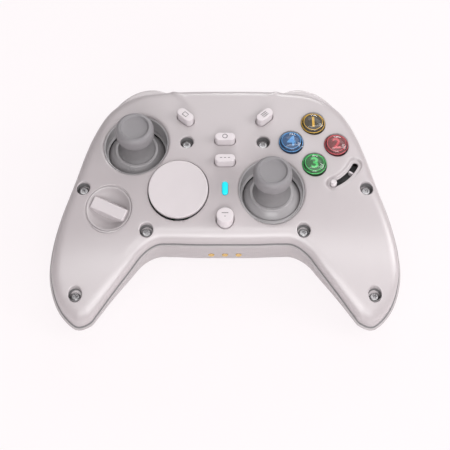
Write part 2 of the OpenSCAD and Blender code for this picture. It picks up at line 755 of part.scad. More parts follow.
module light_pipe() {
  color([0.05, 0.85, 0.95]) square_on(light_spot[0], light_spot[1]) rotate([0, 0, 90])
    translate([0, 0, -5]) linear_extrude(5.15) stadium(light_l, light_w);
}

// Mode dial: a dish with a finger bar across it
dial_turn = -27;
dial_rim = 0.6;
dial_h = 7;
dial_bar_l = 16;
dial_sunk = 0.15;
module mode_dial() {
  mouth = dial_r - dial_rim;
  ball = (mouth * mouth + dial_dish * dial_dish) / (2 * dial_dish);
  color(shell_white) square_on(dial_spot[0], dial_spot[1]) translate([0, 0, -dial_sunk]) {
    difference() {
      translate([0, 0, -dial_h]) cylinder(r = dial_r, h = dial_h);
      translate([0, 0, ball - dial_dish]) sphere(ball);
    }
    rotate([0, 0, dial_turn]) translate([-dial_bar_l / 2, -dial_bar_w / 2, -dial_dish - 0.5])
      cube([dial_bar_l, dial_bar_w, dial_dish + 0.5]);
  }
}

// Slider: a knob in an arc slot, over a dark plate
plate_under = 3.4;
plate_half = 2.2;
plate_past = 5;
knob_r = 1.45;
knob_h = 2.3;
stem_r = 1;
module slider_plate() {
  color([0.16, 0.16, 0.17]) translate([upper_x, upper_y, slider_z - plate_under - 1])
    rotate([0, 0, slider_start - plate_past]) rotate_extrude(angle = slider_sweep + 2 * plate_past)
      translate([slider_arc - plate_half, 0]) square([2 * plate_half, 1]);
}
module slider_knob() {
  knob_gap = 0.3;
  color(key_white) translate([upper_x, upper_y, slider_z + knob_gap]) rotate([0, 0, slider_start])
    translate([slider_arc, 0, 0]) {
      cylinder(r = knob_r, h = knob_h - knob_gap);
      translate([0, 0, -plate_under]) cylinder(r = stem_r, h = plate_under);
    }
}

module housing_screws() {
  color(steel) both_sides() for (p = screw_spots) translate([p[0], p[1], seat_z(p)]) difference() {
    union() {
      cylinder(r = screw_head_r, h = 1.5);
      translate([0, 0, -shank_l]) cylinder(r = screw_r, h = shank_l + 0.1);
    }
    translate([0, 0, 0.7]) cylinder(r = 1.1, h = 2, $fn = 6);
  }
}

// Bumper: a strip along the plate's corner, with a knuckle on an upright pin
bumper_in = -2.6;
bumper_swell = 4.8;
bumper_steps = 20;
bumper_top_gap = 0.45;
function bumper_section(k) =
  let (
    s = bumper_s[0] + (bumper_s[1] - bumper_s[0]) * k / bumper_steps,
    out = rear_lip + bumper_swell * pow(sin(180 * pow(k / bumper_steps, 0.6)), 1.4),
    p = outline(s),
    top = seam_z(p[0], p[1]) - bumper_top_gap,
    low = bumper_low,
    shape = [
      [bumper_in, low], [bumper_in, top], [out - 1.8, top], [out - 0.6, top - 0.4],
      [out, top - 1.5], [out, low + 1.2], [out - 1, low]
    ]
  )
  [for (q = shape) let (e = edge_at(s, q[0])) [e[0], e[1], q[1]]];
module bumper() {
  sections = [for (k = [0:bumper_steps]) bumper_section(k)];
  n = len(sections[0]);
  last = bumper_steps * n;
  pin_z = bumper_low;
  color(key_white) difference() {
    union() {
      polyhedron(
        points = [for (s = sections) each s],
        faces = concat(
          [
            for (k = [0:bumper_steps - 1])
              each strip_faces(count_on(n, k * n), count_on(n, k * n + n), true)
          ],
          [[for (k = [n - 1:-1:0]) k]],
          [[for (k = [0:n - 1]) last + k]]
        )
      );
      translate([bumper_pin[0], bumper_pin[1], pin_z]) cylinder(r = 2.5, h = 6);
    }
    translate([bumper_pin[0], bumper_pin[1], 0]) cylinder(r = bumper_pin_r + pin_fit, h = 60);
  }
}
module left_bumper() mirror([1, 0, 0]) bumper();
module right_bumper() bumper();
module bumper_pin_part(side) {
  color(steel) translate([side * bumper_pin[0], bumper_pin[1], frame_z])
    cylinder(r = bumper_pin_r, h = 8.4);
}
module left_bumper_pin() bumper_pin_part(-1);
module right_bumper_pin() bumper_pin_part(1);

// Trigger: a curved finger lever that hangs on a cross pin
trigger_hub_r = 3.2;
coil_l = 4.6;
coil_r = 2.7;
coil_wire = 0.35;
coil_turns = 5;
finger_x = [22.4, 47.4];
finger_y = 46.5;
finger_round = 5;
function arc2(c, r, a0, a1, n) =
  [for (k = [0:n]) let (a = a0 + (a1 - a0) * k / n) c + r * [cos(a), sin(a)]];
module trigger() {
  c = [trigger_y, trigger_z];
  front_y = trigger_y + 10;
  corner_y = front_y + 1.8 - finger_round;
  profile = concat(
    arc2(c, trigger_hub_r, 215, 90, 10),
    arc2([front_y - 2.4, trigger_z + 0.8], 2.4, 90, 0, 6),
    arc2([front_y + 15.6, trigger_z - 10.6], 16.4, 148, 194, 10),
    arc2([front_y - 1.4, trigger_z - 17.6], 1.5, -20, -160, 8),
    [[trigger_y + 3.2, trigger_z - 9]]
  );
  color(key_white) difference() {
    intersection() {
      translate([finger_x[0], 0, 0]) rotate([90, 0, 90])
        linear_extrude(finger_x[1] - finger_x[0]) polygon(profile);
      linear_extrude(60) {
        translate([trigger_x[0], 30]) square([trigger_x[1] - trigger_x[0], finger_y - 29]);
        translate([finger_x[0], finger_y]) square([finger_x[1] - finger_x[0] - finger_round, 12]);
        translate([finger_x[0], finger_y])
          square([finger_x[1] - finger_x[0], corner_y - finger_y]);
        intersection() {
          translate([finger_x[1] - finger_round, corner_y]) circle(finger_round);
          translate([finger_x[0], finger_y]) square([finger_x[1] - finger_x[0], 12]);
        }
      }
    }
    translate([0, trigger_y, trigger_z]) rotate([0, 90, 0]) cylinder(r = trigger_pin_r + pin_fit, h = 60);
    translate([finger_x[0] - 1, trigger_y, trigger_z]) rotate([0, 90, 0])
      cylinder(r = trigger_hub_r + 0.8, h = trigger_x[0] - finger_x[0] + coil_l + 1.6);
  }
}
module left_trigger() mirror([1, 0, 0]) trigger();
module right_trigger() trigger();
module trigger_pin(side) {
  l = ear_x[1] + ear_t - ear_x[0];
  color(steel) translate([side < 0 ? -ear_x[0] - l : ear_x[0], trigger_y, trigger_z]) rotate([0, 90, 0])
    cylinder(r = trigger_pin_r, h = l);
}
module left_trigger_pin() trigger_pin(-1);
module right_trigger_pin() trigger_pin(1);

// Return spring: an open coil on the trigger's pin
module trigger_spring() {
  per_turn = 12;
  sides = 6;
  steps = coil_turns * per_turn;
  room = coil_l - 2 * coil_wire - 0.4;
  rings = [
    for (k = [0:steps]) let (a = 360 * k / per_turn, x = trigger_x[0] + 0.3 + coil_wire + room * k / steps)
      [
        for (j = [0:sides - 1]) let (b = 360 * j / sides, r = coil_r + coil_wire * cos(b))
          [x + coil_wire * sin(b), trigger_y + r * cos(a), trigger_z + r * sin(a)]
      ]
  ];
  color(steel) polyhedron(
    points = [for (r = rings) each r],
    faces = concat(
      [
        for (k = [0:steps - 1])
          each strip_faces(count_on(sides, k * sides), count_on(sides, k * sides + sides), false)
      ],
      [[for (j = [0:sides - 1]) j]],
      [[for (j = [sides - 1:-1:0]) steps * sides + j]]
    )
  );
}
module left_trigger_spring() mirror([1, 0, 0]) trigger_spring();
module right_trigger_spring() trigger_spring();

// Sockets, contacts and vibration motors
module usb_socket() {
  color(steel) translate([0, top_y + 0.6, usb_z]) rotate([90, 0, 0]) linear_extrude(7.3) difference() {
    stadium(usb_w, usb_h);
    stadium(usb_w - 0.7, usb_h - 0.7);
  }
  color(inner_grey) translate([-3.4, top_y - 6.7, usb_z - 0.35]) cube([6.8, 6, 0.7]);
  color(steel) translate([-4.2, top_y - 7.3, usb_z - usb_h / 2]) cube([8.4, 0.8, usb_h]);
}
module charge_contacts() {
  color([0.85, 0.68, 0.30]) for (k = [-1:1])
    translate([k * contact_pitch, arch_y + 3.4, contact_z]) rotate([90, 0, 0])
      cylinder(r = contact_r, h = 4.2);
}
motor_shaft_r = 1;
weight_r = 7.2;
weight_x = [can_x[0] - 6.2, can_x[0] - 1.6];
module rumble_can() {
  color(steel) translate([0, can_y, can_z]) rotate([0, 90, 0]) {
    translate([0, 0, can_x[0]]) cylinder(r = can_r, h = can_x[1] - can_x[0]);
    translate([0, 0, weight_x[0] - 0.8]) cylinder(r = motor_shaft_r, h = can_x[0] - weight_x[0] + 1);
  }
}
module rumble_weight() {
  color([0.55, 0.53, 0.50]) translate([weight_x[0], can_y, can_z]) rotate([90, 0, 90])
    linear_extrude(weight_x[1] - weight_x[0]) difference() {
      union() {
        intersection() {
          circle(weight_r);
          translate([-weight_r, -weight_r]) square([2 * weight_r, weight_r]);
        }
        circle(2.2);
      }
      circle(motor_shaft_r + pin_fit);
    }
}
module left_rumble_can() mirror([1, 0, 0]) rumble_can();
module right_rumble_can() rumble_can();
module left_rumble_weight() mirror([1, 0, 0]) rumble_weight();
module right_rumble_weight() rumble_weight();

front_shell();
rear_shell();
mid_frame();
main_board();
battery_pack();
stick_ring(-1);  // left_stick_ring
stick_ring(1);  // right_stick_ring
stick_base(-1);  // left_stick_base
stick_base(1);  // right_stick_base
stick_yoke(-1);  // left_stick_yoke
stick_yoke(1);  // right_stick_yoke
stick_hub(-1);  // left_stick_hub
stick_hub(1);  // right_stick_hub
stick_shaft(-1);  // left_stick_shaft
stick_shaft(1);  // right_stick_shaft
stick_cap(-1);  // left_stick_cap
stick_cap(1);  // right_stick_cap
dpad_post();
dpad_saddle();
dpad_disc();
face_pad();
dpad_pad();
small_pads();
face_cap(0);  // north_cap
face_cap(1);  // east_cap
face_cap(2);  // south_cap
face_cap(3);  // west_cap
face_core(0);  // north_core
face_core(1);  // east_core
face_core(2);  // south_core
face_core(3);  // west_core
left_menu_button();
right_menu_button();
home_button();
function_button();
turbo_button();
light_pipe();
mode_dial();
slider_plate();
slider_knob();
housing_screws();
left_bumper();
right_bumper();
left_bumper_pin();
right_bumper_pin();
left_trigger();
right_trigger();
left_trigger_pin();
right_trigger_pin();
left_trigger_spring();
right_trigger_spring();
usb_socket();
charge_contacts();
left_rumble_can();
right_rumble_can();
left_rumble_weight();
right_rumble_weight();
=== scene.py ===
import json
import math

import bpy
import numpy as np
from mathutils import Matrix, Vector
from mathutils.geometry import delaunay_2d_cdt


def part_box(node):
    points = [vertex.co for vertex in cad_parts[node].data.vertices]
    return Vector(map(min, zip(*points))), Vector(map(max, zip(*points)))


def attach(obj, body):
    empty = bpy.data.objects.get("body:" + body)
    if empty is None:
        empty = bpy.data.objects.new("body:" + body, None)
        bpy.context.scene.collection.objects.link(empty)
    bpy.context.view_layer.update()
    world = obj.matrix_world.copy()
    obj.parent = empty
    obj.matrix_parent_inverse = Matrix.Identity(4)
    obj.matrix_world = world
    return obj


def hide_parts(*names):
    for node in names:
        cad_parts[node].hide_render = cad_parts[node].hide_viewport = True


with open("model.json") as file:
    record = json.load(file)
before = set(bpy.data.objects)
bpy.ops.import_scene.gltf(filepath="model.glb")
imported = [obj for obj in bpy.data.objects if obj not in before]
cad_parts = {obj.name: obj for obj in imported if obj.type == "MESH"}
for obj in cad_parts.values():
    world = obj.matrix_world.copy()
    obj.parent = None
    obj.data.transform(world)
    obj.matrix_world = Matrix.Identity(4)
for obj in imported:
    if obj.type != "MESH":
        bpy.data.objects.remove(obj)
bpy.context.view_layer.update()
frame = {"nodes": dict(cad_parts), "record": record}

# Shapes below are in millimetres; meshes are made in metres
MM = 0.001

# Housing, as in the solids, apart from the plate's edge, which is rounded more tightly
HALF_W = 75.8
TOP_Y = 48.4
ARCH_Y = -21.9
TIP_Y = -50.2
FACE_TOP = 46.0
FACE_RADIUS = 273.0
CROSS_RADIUS = 385.0
GRIP_DROOP = 10.1
DROOP_SPAN = 96.0
PLATE_EDGE = 5.5
EDGE_DROP = 2.5
EDGE_ROUND = 4.6
SEAM = 0.3
REAR_LIP = 1.2
REAR_WALL = 2.4
REAR_RISE = 1.0
REAR_ROUND = 16.0
UPPER = (39.2, 21.1)
LOWER = (20.3, -1.2)

# Upper and lower edge of the plate, from the middle to the tip of the right grip
UPPER_EDGE = [
    (0, TOP_Y), (23.6, TOP_Y), (39.4, TOP_Y - 1.5), (HALF_W - 24.6, TOP_Y - 8.7),
    (HALF_W - 16.7, TOP_Y - 22.3), (HALF_W - 10.3, TOP_Y - 41.5), (HALF_W - 4.4, TIP_Y + 40.8),
    (HALF_W - 0.9, TIP_Y + 27.5), (HALF_W - 0.2, TIP_Y + 16.7), (HALF_W - 3.4, TIP_Y + 6.6),
]
LOWER_EDGE = [
    (0, ARCH_Y), (12.8, ARCH_Y + 0.1), (23.6, ARCH_Y + 0.6), (HALF_W - 45.8, ARCH_Y + 0.3),
    (HALF_W - 39.8, ARCH_Y - 3.3), (HALF_W - 34.4, TIP_Y + 19), (HALF_W - 29, TIP_Y + 13.2),
    (HALF_W - 24.1, TIP_Y + 8), (HALF_W - 19.7, TIP_Y + 3.4), (HALF_W - 16.2, TIP_Y + 0.5),
]
TIP = (HALF_W - 10.2, TIP_Y)
EDGE = np.array(UPPER_EDGE + [TIP] + LOWER_EDGE[::-1], dtype=float)
EDGE_END = len(EDGE) - 1
TIP_AT = len(UPPER_EDGE)
TANGENT_STEP = 0.02
EDGE_SPLIT = 16


def edge_point(k):
    """Corner k of the edge, mirrored past its two ends on the middle plane."""
    if k < 0:
        return EDGE[-k] * (-1, 1)
    if k > EDGE_END:
        return EDGE[2 * EDGE_END - k] * (-1, 1)
    return EDGE[k]


def outline(s):
    """Point of the plate's edge at station s, from the top middle over the tip to the lower middle."""
    k = min(int(s), EDGE_END - 1)
    t = s - k
    a, b, c, d = (edge_point(k + j) for j in (-1, 0, 1, 2))
    return 0.5 * (2 * b + (c - a) * t + (2 * a - 5 * b + 4 * c - d) * t**2 + (3 * b - a - 3 * c + d) * t**3)


def tangent(s):
    v = outline(min(s + TANGENT_STEP, EDGE_END)) - outline(max(s - TANGENT_STEP, 0))
    return v / np.linalg.norm(v)


def edge_at(s, out):
    """Point at a distance outside the plate's edge."""
    t = tangent(s)
    return outline(s) + out * np.array((-t[1], t[0]))


def edge_loop(out):
    """Closed loop at a distance outside the plate's edge, clockwise from the top middle."""
    right = [edge_at(s, out) for s in np.linspace(0, EDGE_END, EDGE_END * EDGE_SPLIT + 1)]
    left = [p * (-1, 1) for p in right[-2:0:-1]]
    return np.array(right + left)


def crown(x, y):
    """Height of the plate's curved face, which droops towards the grips."""
    fall = (TOP_Y - y) ** 2 / (2 * FACE_RADIUS) + GRIP_DROOP * ((TOP_Y - y) / DROOP_SPAN) ** 4
    return FACE_TOP - fall - x**2 / (2 * CROSS_RADIUS)


def rounding(d, r):
    """Quarter circle from 0 at the edge to 1 at distance r from it."""
    return np.sqrt(1 - (1 - np.clip(d / r, 0, 1)) ** 2)


def seam_z(x, y):
    return crown(x, y) - PLATE_EDGE


def upright(x, y, z=0.0):
    """Place on the plate, with its Z axis up."""
    return Matrix.Translation((x, y, crown(x, y) + z))


def square_on(x, y, z=0.0, turn=0.0):
    """Place on the plate, with its Z axis square to the plate's curve."""
    fall = (TOP_Y - y) / FACE_RADIUS + GRIP_DROOP * 4 * ((TOP_Y - y) / DROOP_SPAN) ** 3 / DROOP_SPAN
    tilt = math.atan(x / CROSS_RADIUS)
    lean = math.atan(fall * math.cos(tilt))
    facing = Matrix.Rotation(tilt, 4, "Y") @ Matrix.Rotation(lean, 4, "X") @ Matrix.Rotation(turn, 4, "Z")
    return upright(x, y) @ facing @ Matrix.Translation((0, 0, z))


def middle(node):
    """Plan middle of a CAD node, in millimetres."""
    low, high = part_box(node)
    return (low[0] + high[0]) / 2 / MM, (low[1] + high[1]) / 2 / MM


# Materials

NOISE_BAND = (0.3, 0.7)
MOTTLE_SCALE = 60
POLISH_SCALE = 90
GRAIN_DEPTH = 0.05


def fill(made, **values):
    """Sets inputs and settings of a shader node by name."""
    for name, value in values.items():
        socket = name.replace("_", " ")
        if socket in made.inputs:
            made.inputs[socket].default_value = value
        else:
            setattr(made, name, value)
    return made


def node(tree, kind, **values):
    return fill(tree.nodes.new("ShaderNode" + kind), **values)


def finish(name, slot, color, rough, **more):
    """Material with a principled shader; slot is the record's slot of its pieces, or the stage."""
    material = bpy.data.materials.new(name)
    material.use_nodes = True
    material["slot"] = slot
    fill(material.node_tree.nodes["Principled BSDF"], Base_Color=(*color, 1), Roughness=rough, **more)
    return material


def place_socket(tree):
    return node(tree, "TexCoord").outputs["Object"]


def mottle(material, color, spread, scale):
    """Slow change of shade over a surface."""
    tree = material.node_tree
    noise = node(tree, "TexNoise", Scale=scale, Detail=5.0, Roughness=0.6)
    ramp = node(tree, "ValToRGB")
    tree.links.new(place_socket(tree), noise.inputs["Vector"])
    tree.links.new(noise.outputs["Fac"], ramp.inputs["Fac"])
    for stop, at, share in zip(ramp.color_ramp.elements, NOISE_BAND, (1 - spread, 1 + spread)):
        stop.position = at
        stop.color = (*(min(c * share, 1) for c in color), 1)
    tree.links.new(ramp.outputs["Color"], tree.nodes["Principled BSDF"].inputs["Base Color"])


def uneven(material, low, high, scale):
    """Roughness that changes from place to place, as handling polishes plastic."""
    tree = material.node_tree
    noise = node(tree, "TexNoise", Scale=scale, Detail=3.0)
    band = {"From_Min": NOISE_BAND[0], "From_Max": NOISE_BAND[1]}
    spread = node(tree, "MapRange", To_Min=low, To_Max=high, **band)
    tree.links.new(place_socket(tree), noise.inputs["Vector"])
    tree.links.new(noise.outputs["Fac"], spread.inputs["Value"])
    tree.links.new(spread.outputs["Result"], tree.nodes["Principled BSDF"].inputs["Roughness"])


def bump(material, texture, output, strength, depth):
    """Relief from a texture node, laid over any relief that is already there."""
    tree = material.node_tree
    shader = tree.nodes["Principled BSDF"]
    relief = node(tree, "Bump", Strength=strength, Distance=depth * MM)
    earlier = shader.inputs["Normal"].links
    if earlier:
        tree.links.new(earlier[0].from_socket, relief.inputs["Normal"])
    tree.links.new(place_socket(tree), texture.inputs["Vector"])
    tree.links.new(texture.outputs[output], relief.inputs["Height"])
    tree.links.new(relief.outputs["Normal"], shader.inputs["Normal"])
    return relief


def spark(material, scale, strength, depth):
    """Fine grain of a spark-eroded mould."""
    noise = node(material.node_tree, "TexNoise", Scale=scale, Detail=2.0)
    bump(material, noise, "Fac", strength, depth)


def moulded(name, slot, color, rough, spread=0.02, grain=2600, relief=0.25, polish=0.015, **more):
    """Moulded plastic or rubber with slight mottle, fine grain and handled spots."""
    material = finish(name, slot, color, rough, **more)
    mottle(material, color, spread, MOTTLE_SCALE)
    uneven(material, rough - polish, rough + polish, POLISH_SCALE)
    spark(material, grain, relief, GRAIN_DEPTH)
    return material


SHELL = (0.42, 0.378, 0.388)
REAR = (0.38, 0.345, 0.353)
KEY = (0.59, 0.538, 0.556)
SHOULDER = (0.56, 0.515, 0.525)
DISC = (0.55, 0.503, 0.517)
STICK = (0.21, 0.198, 0.207)
SKIRT = (0.29, 0.275, 0.283)
# A little darker than the shell: painted shade in the dial's bowl
DISH = (0.4, 0.365, 0.373)
# Darker than the cap: painted shade under the cap's edge
NECK_SHADE_GREY = (0.17, 0.161, 0.166)
RING_GREY = (0.36, 0.344, 0.352)
# Dark grey of painted shade: sleeves in the screw counterbores and the strip in the seam
SHADE_GREY = (0.17, 0.163, 0.167)
SLOT_DARK = (0.07, 0.068, 0.07)
MARK_GREY = (0.16, 0.15, 0.155)
INNER_GREY = (0.08, 0.083, 0.09)
BOARD_GREEN = (0.02, 0.11, 0.05)
BATTERY_BLUE = (0.06, 0.12, 0.3)
SILICONE_GREY = (0.36, 0.37, 0.39)
STEEL = (0.56, 0.55, 0.56)
PLATING = (0.72, 0.5, 0.2)
shell_finish = moulded("shell_satin", "shell_plastic", SHELL, 0.33, spread=0.008, Specular_IOR_Level=1.0)
# The dish's darker grey is painted shade in the bowl
dish_shade_finish = moulded("dish_satin_painted_shade", "shell_plastic", DISH, 0.36, spread=0.01)
key_finish = moulded("key_satin", "key_plastic", KEY, 0.42, relief=0.15)
gloss_finish = moulded(
    "shoulder_gloss", "gloss_white", SHOULDER, 0.2, relief=0.04, Coat_Weight=0.4, Coat_Roughness=0.08,
)
# The neck's rubber is darkened: painted shade under the cap
neck_shade_finish = moulded("neck_rubber_painted_shade", "stick_rubber", NECK_SHADE_GREY, 0.55, spread=0.04)
skirt_finish = moulded("skirt_satin", "stick_rubber", SKIRT, 0.28, spread=0.03, relief=0.08)
stick_finish = moulded("stick_rubber", "stick_rubber", STICK, 0.5, spread=0.03, grain=3400)
ring_finish = moulded("well_ring", "ring_plastic", RING_GREY, 0.22, spread=0.04, relief=0.06)
# Painted shade for the counterbores and the seam
shade_finish = moulded("painted_shade_grey", "ring_plastic", SHADE_GREY, 0.5, spread=0.08)
dark_finish = moulded("slot_dark", "ring_plastic", SLOT_DARK, 0.4, spread=0.15)
mark_finish = moulded("mark_grey", "key_plastic", MARK_GREY, 0.5, spread=0.1)
inner_finish = moulded("inner_grey", "inner_plastic", INNER_GREY, 0.5, spread=0.12)
board_finish = moulded("board_mask", "board_green", BOARD_GREEN, 0.35, spread=0.25, relief=0.1)
battery_finish = moulded("battery_wrap", "battery_blue", BATTERY_BLUE, 0.4, spread=0.15)
silicone_finish = moulded("silicone", "silicone", SILICONE_GREY, 0.6, spread=0.06)

METAL_MOTTLE = (0.08, 160)
METAL_POLISH = (-0.08, 0.1)
DRAWN_RELIEF = (0.15, 0.03)


def metal(name, slot, color, rough, scale):
    """Metal with fine drawn lines."""
    material = finish(name, slot, color, rough, Metallic=1.0)
    mottle(material, color, *METAL_MOTTLE)
    uneven(material, rough + METAL_POLISH[0], rough + METAL_POLISH[1], scale)
    lines = node(material.node_tree, "TexNoise", Scale=scale, Detail=4.0)
    bump(material, lines, "Fac", *DRAWN_RELIEF)
    return material


steel_finish = metal("steel", "steel", STEEL, 0.32, 700)
gold_finish = metal("contact_plating", "contact_gold", PLATING, 0.25, 900)


# Mesh helpers

SHARP_ANGLE = 40
BAR_POINTS = 7
ARC_POINTS = 25
ON_AXIS = 1e-6


def placed(name, data):
    """New object in the scene."""
    obj = bpy.data.objects.new(name, data)
    bpy.context.scene.collection.objects.link(obj)
    return obj


def mesh_of(name, points, faces):
    """Mesh from points in millimetres."""
    mesh = bpy.data.meshes.new(name)
    mesh.from_pydata([Vector(p) * MM for p in points], [], faces)
    return mesh


def add(name, body, material, points, faces, replaced=(), sharp=SHARP_ANGLE):
    """Object from points in millimetres, riding on a body and standing for the nodes that it replaces."""
    mesh = mesh_of(name, points, faces)
    mesh.materials.append(material)
    mesh.polygons.foreach_set("use_smooth", [True] * len(mesh.polygons))
    mesh.set_sharp_from_angle(angle=math.radians(sharp))
    obj = placed(name, mesh)
    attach(obj, body)
    if replaced:
        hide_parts(*replaced)
    return obj


def merged(parts):
    """Points and faces of several pieces as one."""
    points, faces = [], []
    for part_points, part_faces in parts:
        base = len(points)
        points += list(part_points)
        faces += [tuple(k + base for k in face) for face in part_faces]
    return points, faces


def rounded_line(corners, steps=6):
    """Line through (x, y, radius) corners, each eased by its radius."""
    spots = [np.array(c[:2], dtype=float) for c in corners]
    line = []
    for k, (spot, corner) in enumerate(zip(spots, corners)):
        ease = corner[2] if len(corner) > 2 else 0
        if ease == 0 or k in (0, len(spots) - 1):
            line.append(tuple(spot))
            continue
        before, after = spots[k - 1] - spot, spots[k + 1] - spot
        reach = min(ease, 0.5 * np.linalg.norm(before), 0.5 * np.linalg.norm(after))
        start = spot + before / np.linalg.norm(before) * reach
        end = spot + after / np.linalg.norm(after) * reach
        for t in np.linspace(0, 1, steps + 1):
            line.append(tuple((1 - t) ** 2 * start + 2 * t * (1 - t) * spot + t**2 * end))
    return line


def stack(loops, cap_low=True, cap_high=True):
    """Skin over loops of equal length, counter-clockwise from above, from low to high."""
    count = len(loops[0])
    points = [p for loop in loops for p in loop]
    faces = []
    for level in range(len(loops) - 1):
        low, high = level * count, (level + 1) * count
        for k in range(count):
            n = (k + 1) % count
            faces.append((low + k, low + n, high + n, high + k))
    if cap_low:
        faces.append(tuple(range(count - 1, -1, -1)))
    if cap_high:
        faces.append(tuple(range(len(points) - count, len(points))))
    return points, faces


def lathe(profile, place, segments=96):
    """Turned piece: profile of (radius, height) from low outside to high inside."""
    turns = np.linspace(0, 2 * math.pi, segments, endpoint=False)
    closed_low, closed_high = profile[0][0] < ON_AXIS, profile[-1][0] < ON_AXIS
    rings = profile[int(closed_low):len(profile) - int(closed_high)]
    loops = [[place @ Vector((r * math.cos(a), r * math.sin(a), z)) for a in turns] for r, z in rings]
    points, faces = stack(loops, False, False)
    last = len(points) - segments
    for closed, height, base, flip in (
        (closed_low, profile[0][1], 0, True), (closed_high, profile[-1][1], last, False),
    ):
        if closed:
            points.append(place @ Vector((0, 0, height)))
            for k in range(segments):
                a, b = base + k, base + (k + 1) % segments
                faces.append((b, a, len(points) - 1) if flip else (a, b, len(points) - 1))
    return points, faces


def ray(reach, a):
    return reach * np.array((math.cos(a), math.sin(a)))


def capsule(spine, radius, caps=14):
    """Counter-clockwise loop at a distance round a line of points; one point gives a circle."""
    spine = [np.array(p, dtype=float) for p in spine]
    if len(spine) == 1:
        turns = np.linspace(0, 2 * math.pi, 4 * caps, endpoint=False)
        return [spine[0] + ray(radius, a) for a in turns]
    loop = []
    for line in (spine, spine[::-1]):
        steps = np.gradient(np.array(line), axis=0)
        headings = np.arctan2(steps[:, 1], steps[:, 0]) - math.pi / 2
        loop += [p + ray(radius, a) for p, a in zip(line, headings)]
        for a in np.linspace(headings[-1], headings[-1] + math.pi, caps + 1)[1:-1]:
            loop.append(line[-1] + ray(radius, a))
    return loop


def distance_to(spine, x, y):
    """Distance of points from a line of points."""
    spine = np.array(spine, dtype=float)
    if len(spine) == 1:
        return np.hypot(x - spine[0][0], y - spine[0][1])
    best = np.full(x.shape, np.inf)
    for a, b in zip(spine[:-1], spine[1:]):
        run = b - a
        t = np.clip(((x - a[0]) * run[0] + (y - a[1]) * run[1]) / (run @ run), 0, 1)
        best = np.minimum(best, np.hypot(x - a[0] - t * run[0], y - a[1] - t * run[1]))
    return best


def bar_spine(at, length, turn):
    """Spine of a bar with that length between the centres of its round ends."""
    half = ray(length / 2, turn)
    return [np.array(at) + half * t for t in np.linspace(-1, 1, BAR_POINTS)]


def arc_spine(centre, radius, start, sweep):
    """Points of an arc, with its start and sweep in degrees."""
    angles = np.radians(np.linspace(start, start + sweep, ARC_POINTS))
    return [(centre[0] + radius * math.cos(a), centre[1] + radius * math.sin(a)) for a in angles]


def round_rect(length, width, ease, steps=8):
    """Counter-clockwise rectangle with round corners."""
    loop = []
    for quarter, (sx, sy) in enumerate(((1, 1), (-1, 1), (-1, -1), (1, -1))):
        x, y = sx * (length / 2 - ease), sy * (width / 2 - ease)
        for a in np.linspace(quarter * math.pi / 2, (quarter + 1) * math.pi / 2, steps + 1):
            loop.append((x + ease * math.cos(a), y + ease * math.sin(a)))
    return loop


# Front plate: one skin over the outline, with eased holes

PLATE_SHARP = 50
HOLE_GAP = 0.3
HOLE_WALL = 2.4
KEY_EASE = 0.4
WELL_R = 14.45
WELL_EASE = 1.1
WIDE_WALL = 2.6
FACE_EASE = 0.45
FACE_R = 5.1
SMALL_KEYS = {
    "home_button": (8.8, 3.8, 0),
    "function_button": (8.8, 3.8, 0),
    "left_menu_button": (8.3, 4.2, -42),
    "right_menu_button": (8.3, 4.2, 42),
}
TURBO_R = 3.7
DPAD_R = 13.0
DPAD_GAP = 0.3
DPAD_AT = (-LOWER[0], LOWER[1])
DPAD_EASE = 0.5
DIAL_R = 10.0
DIAL_AT = (25.2 - HALF_W, -8.0)
DIAL_EASE = 0.25
DIAL_WALL = 0.9
SLIDER_ARC = 20.1
SLIDER_START = -66.0
SLIDER_SWEEP = 41.0
SLOT_HALF = 1.3
SLOT_EASE = 0.3
SLOT_WALL = 1.6
RECESS_HALF = 3.0
RECESS_DEPTH = 0.9
COUNTERBORE_R = 2.9
COUNTERBORE_EASE = 0.5
SCREW_DEPTH = 4.2
LIGHT = (6.0, 2.5)
LIGHT_GAP = 0.1
LIGHT_EASE = 0.3
STICKS = {"left": (-UPPER[0], UPPER[1]), "right": LOWER}
FACE_KEYS = ("north", "east", "south", "west")
SCREWS = [
    (side * x, y)
    for side in (-1, 1)
    for x, y in ((16.8, 21), (34, -17.8), (HALF_W - 13.8, 1.9), (HALF_W - 10.8, TIP_Y + 9.4))
]
slider_spine = arc_spine(UPPER, SLIDER_ARC, SLIDER_START, SLIDER_SWEEP)
SLIDER_Z = crown(*slider_spine[ARC_POINTS // 2]) - RECESS_DEPTH


def key_spine(name):
    length, width, turn = SMALL_KEYS[name]
    return bar_spine(middle(name), length - width, math.radians(turn))


def plate_holes():
    """Holes as (spine, radius, ease of the edge, depth of the wall)."""
    holes = [([spot], WELL_R, WELL_EASE, WIDE_WALL) for spot in STICKS.values()]
    holes += [([middle(f"{key}_cap")], FACE_R + HOLE_GAP, FACE_EASE, HOLE_WALL) for key in FACE_KEYS]
    for key, (_, width, _) in SMALL_KEYS.items():
        holes.append((key_spine(key), width / 2 + HOLE_GAP, KEY_EASE, HOLE_WALL))
    holes.append(([middle("turbo_button")], TURBO_R + HOLE_GAP, KEY_EASE, HOLE_WALL))
    light = bar_spine(middle("light_pipe"), LIGHT[0] - LIGHT[1], math.pi / 2)
    holes.append((light, LIGHT[1] / 2 + LIGHT_GAP, LIGHT_EASE, HOLE_WALL))
    holes.append(([DPAD_AT], DPAD_R + DPAD_GAP, DPAD_EASE, WIDE_WALL))
    holes.append(([DIAL_AT], DIAL_R + HOLE_GAP, DIAL_EASE, DIAL_WALL))
    holes.append((slider_spine, SLOT_HALF, SLOT_EASE, SLOT_WALL))
    holes += [([spot], COUNTERBORE_R, COUNTERBORE_EASE, SCREW_DEPTH) for spot in SCREWS]
    return holes


CREASE_LINE = [(23.6, TOP_Y), (20.8, TOP_Y - 2.6), (17.2, TOP_Y - 6.0), (14.4, TOP_Y - 9.5)]
CREASE_RISE = 0.8
CREASE_HALF = 1.1
CREASE_FADE = 10.0


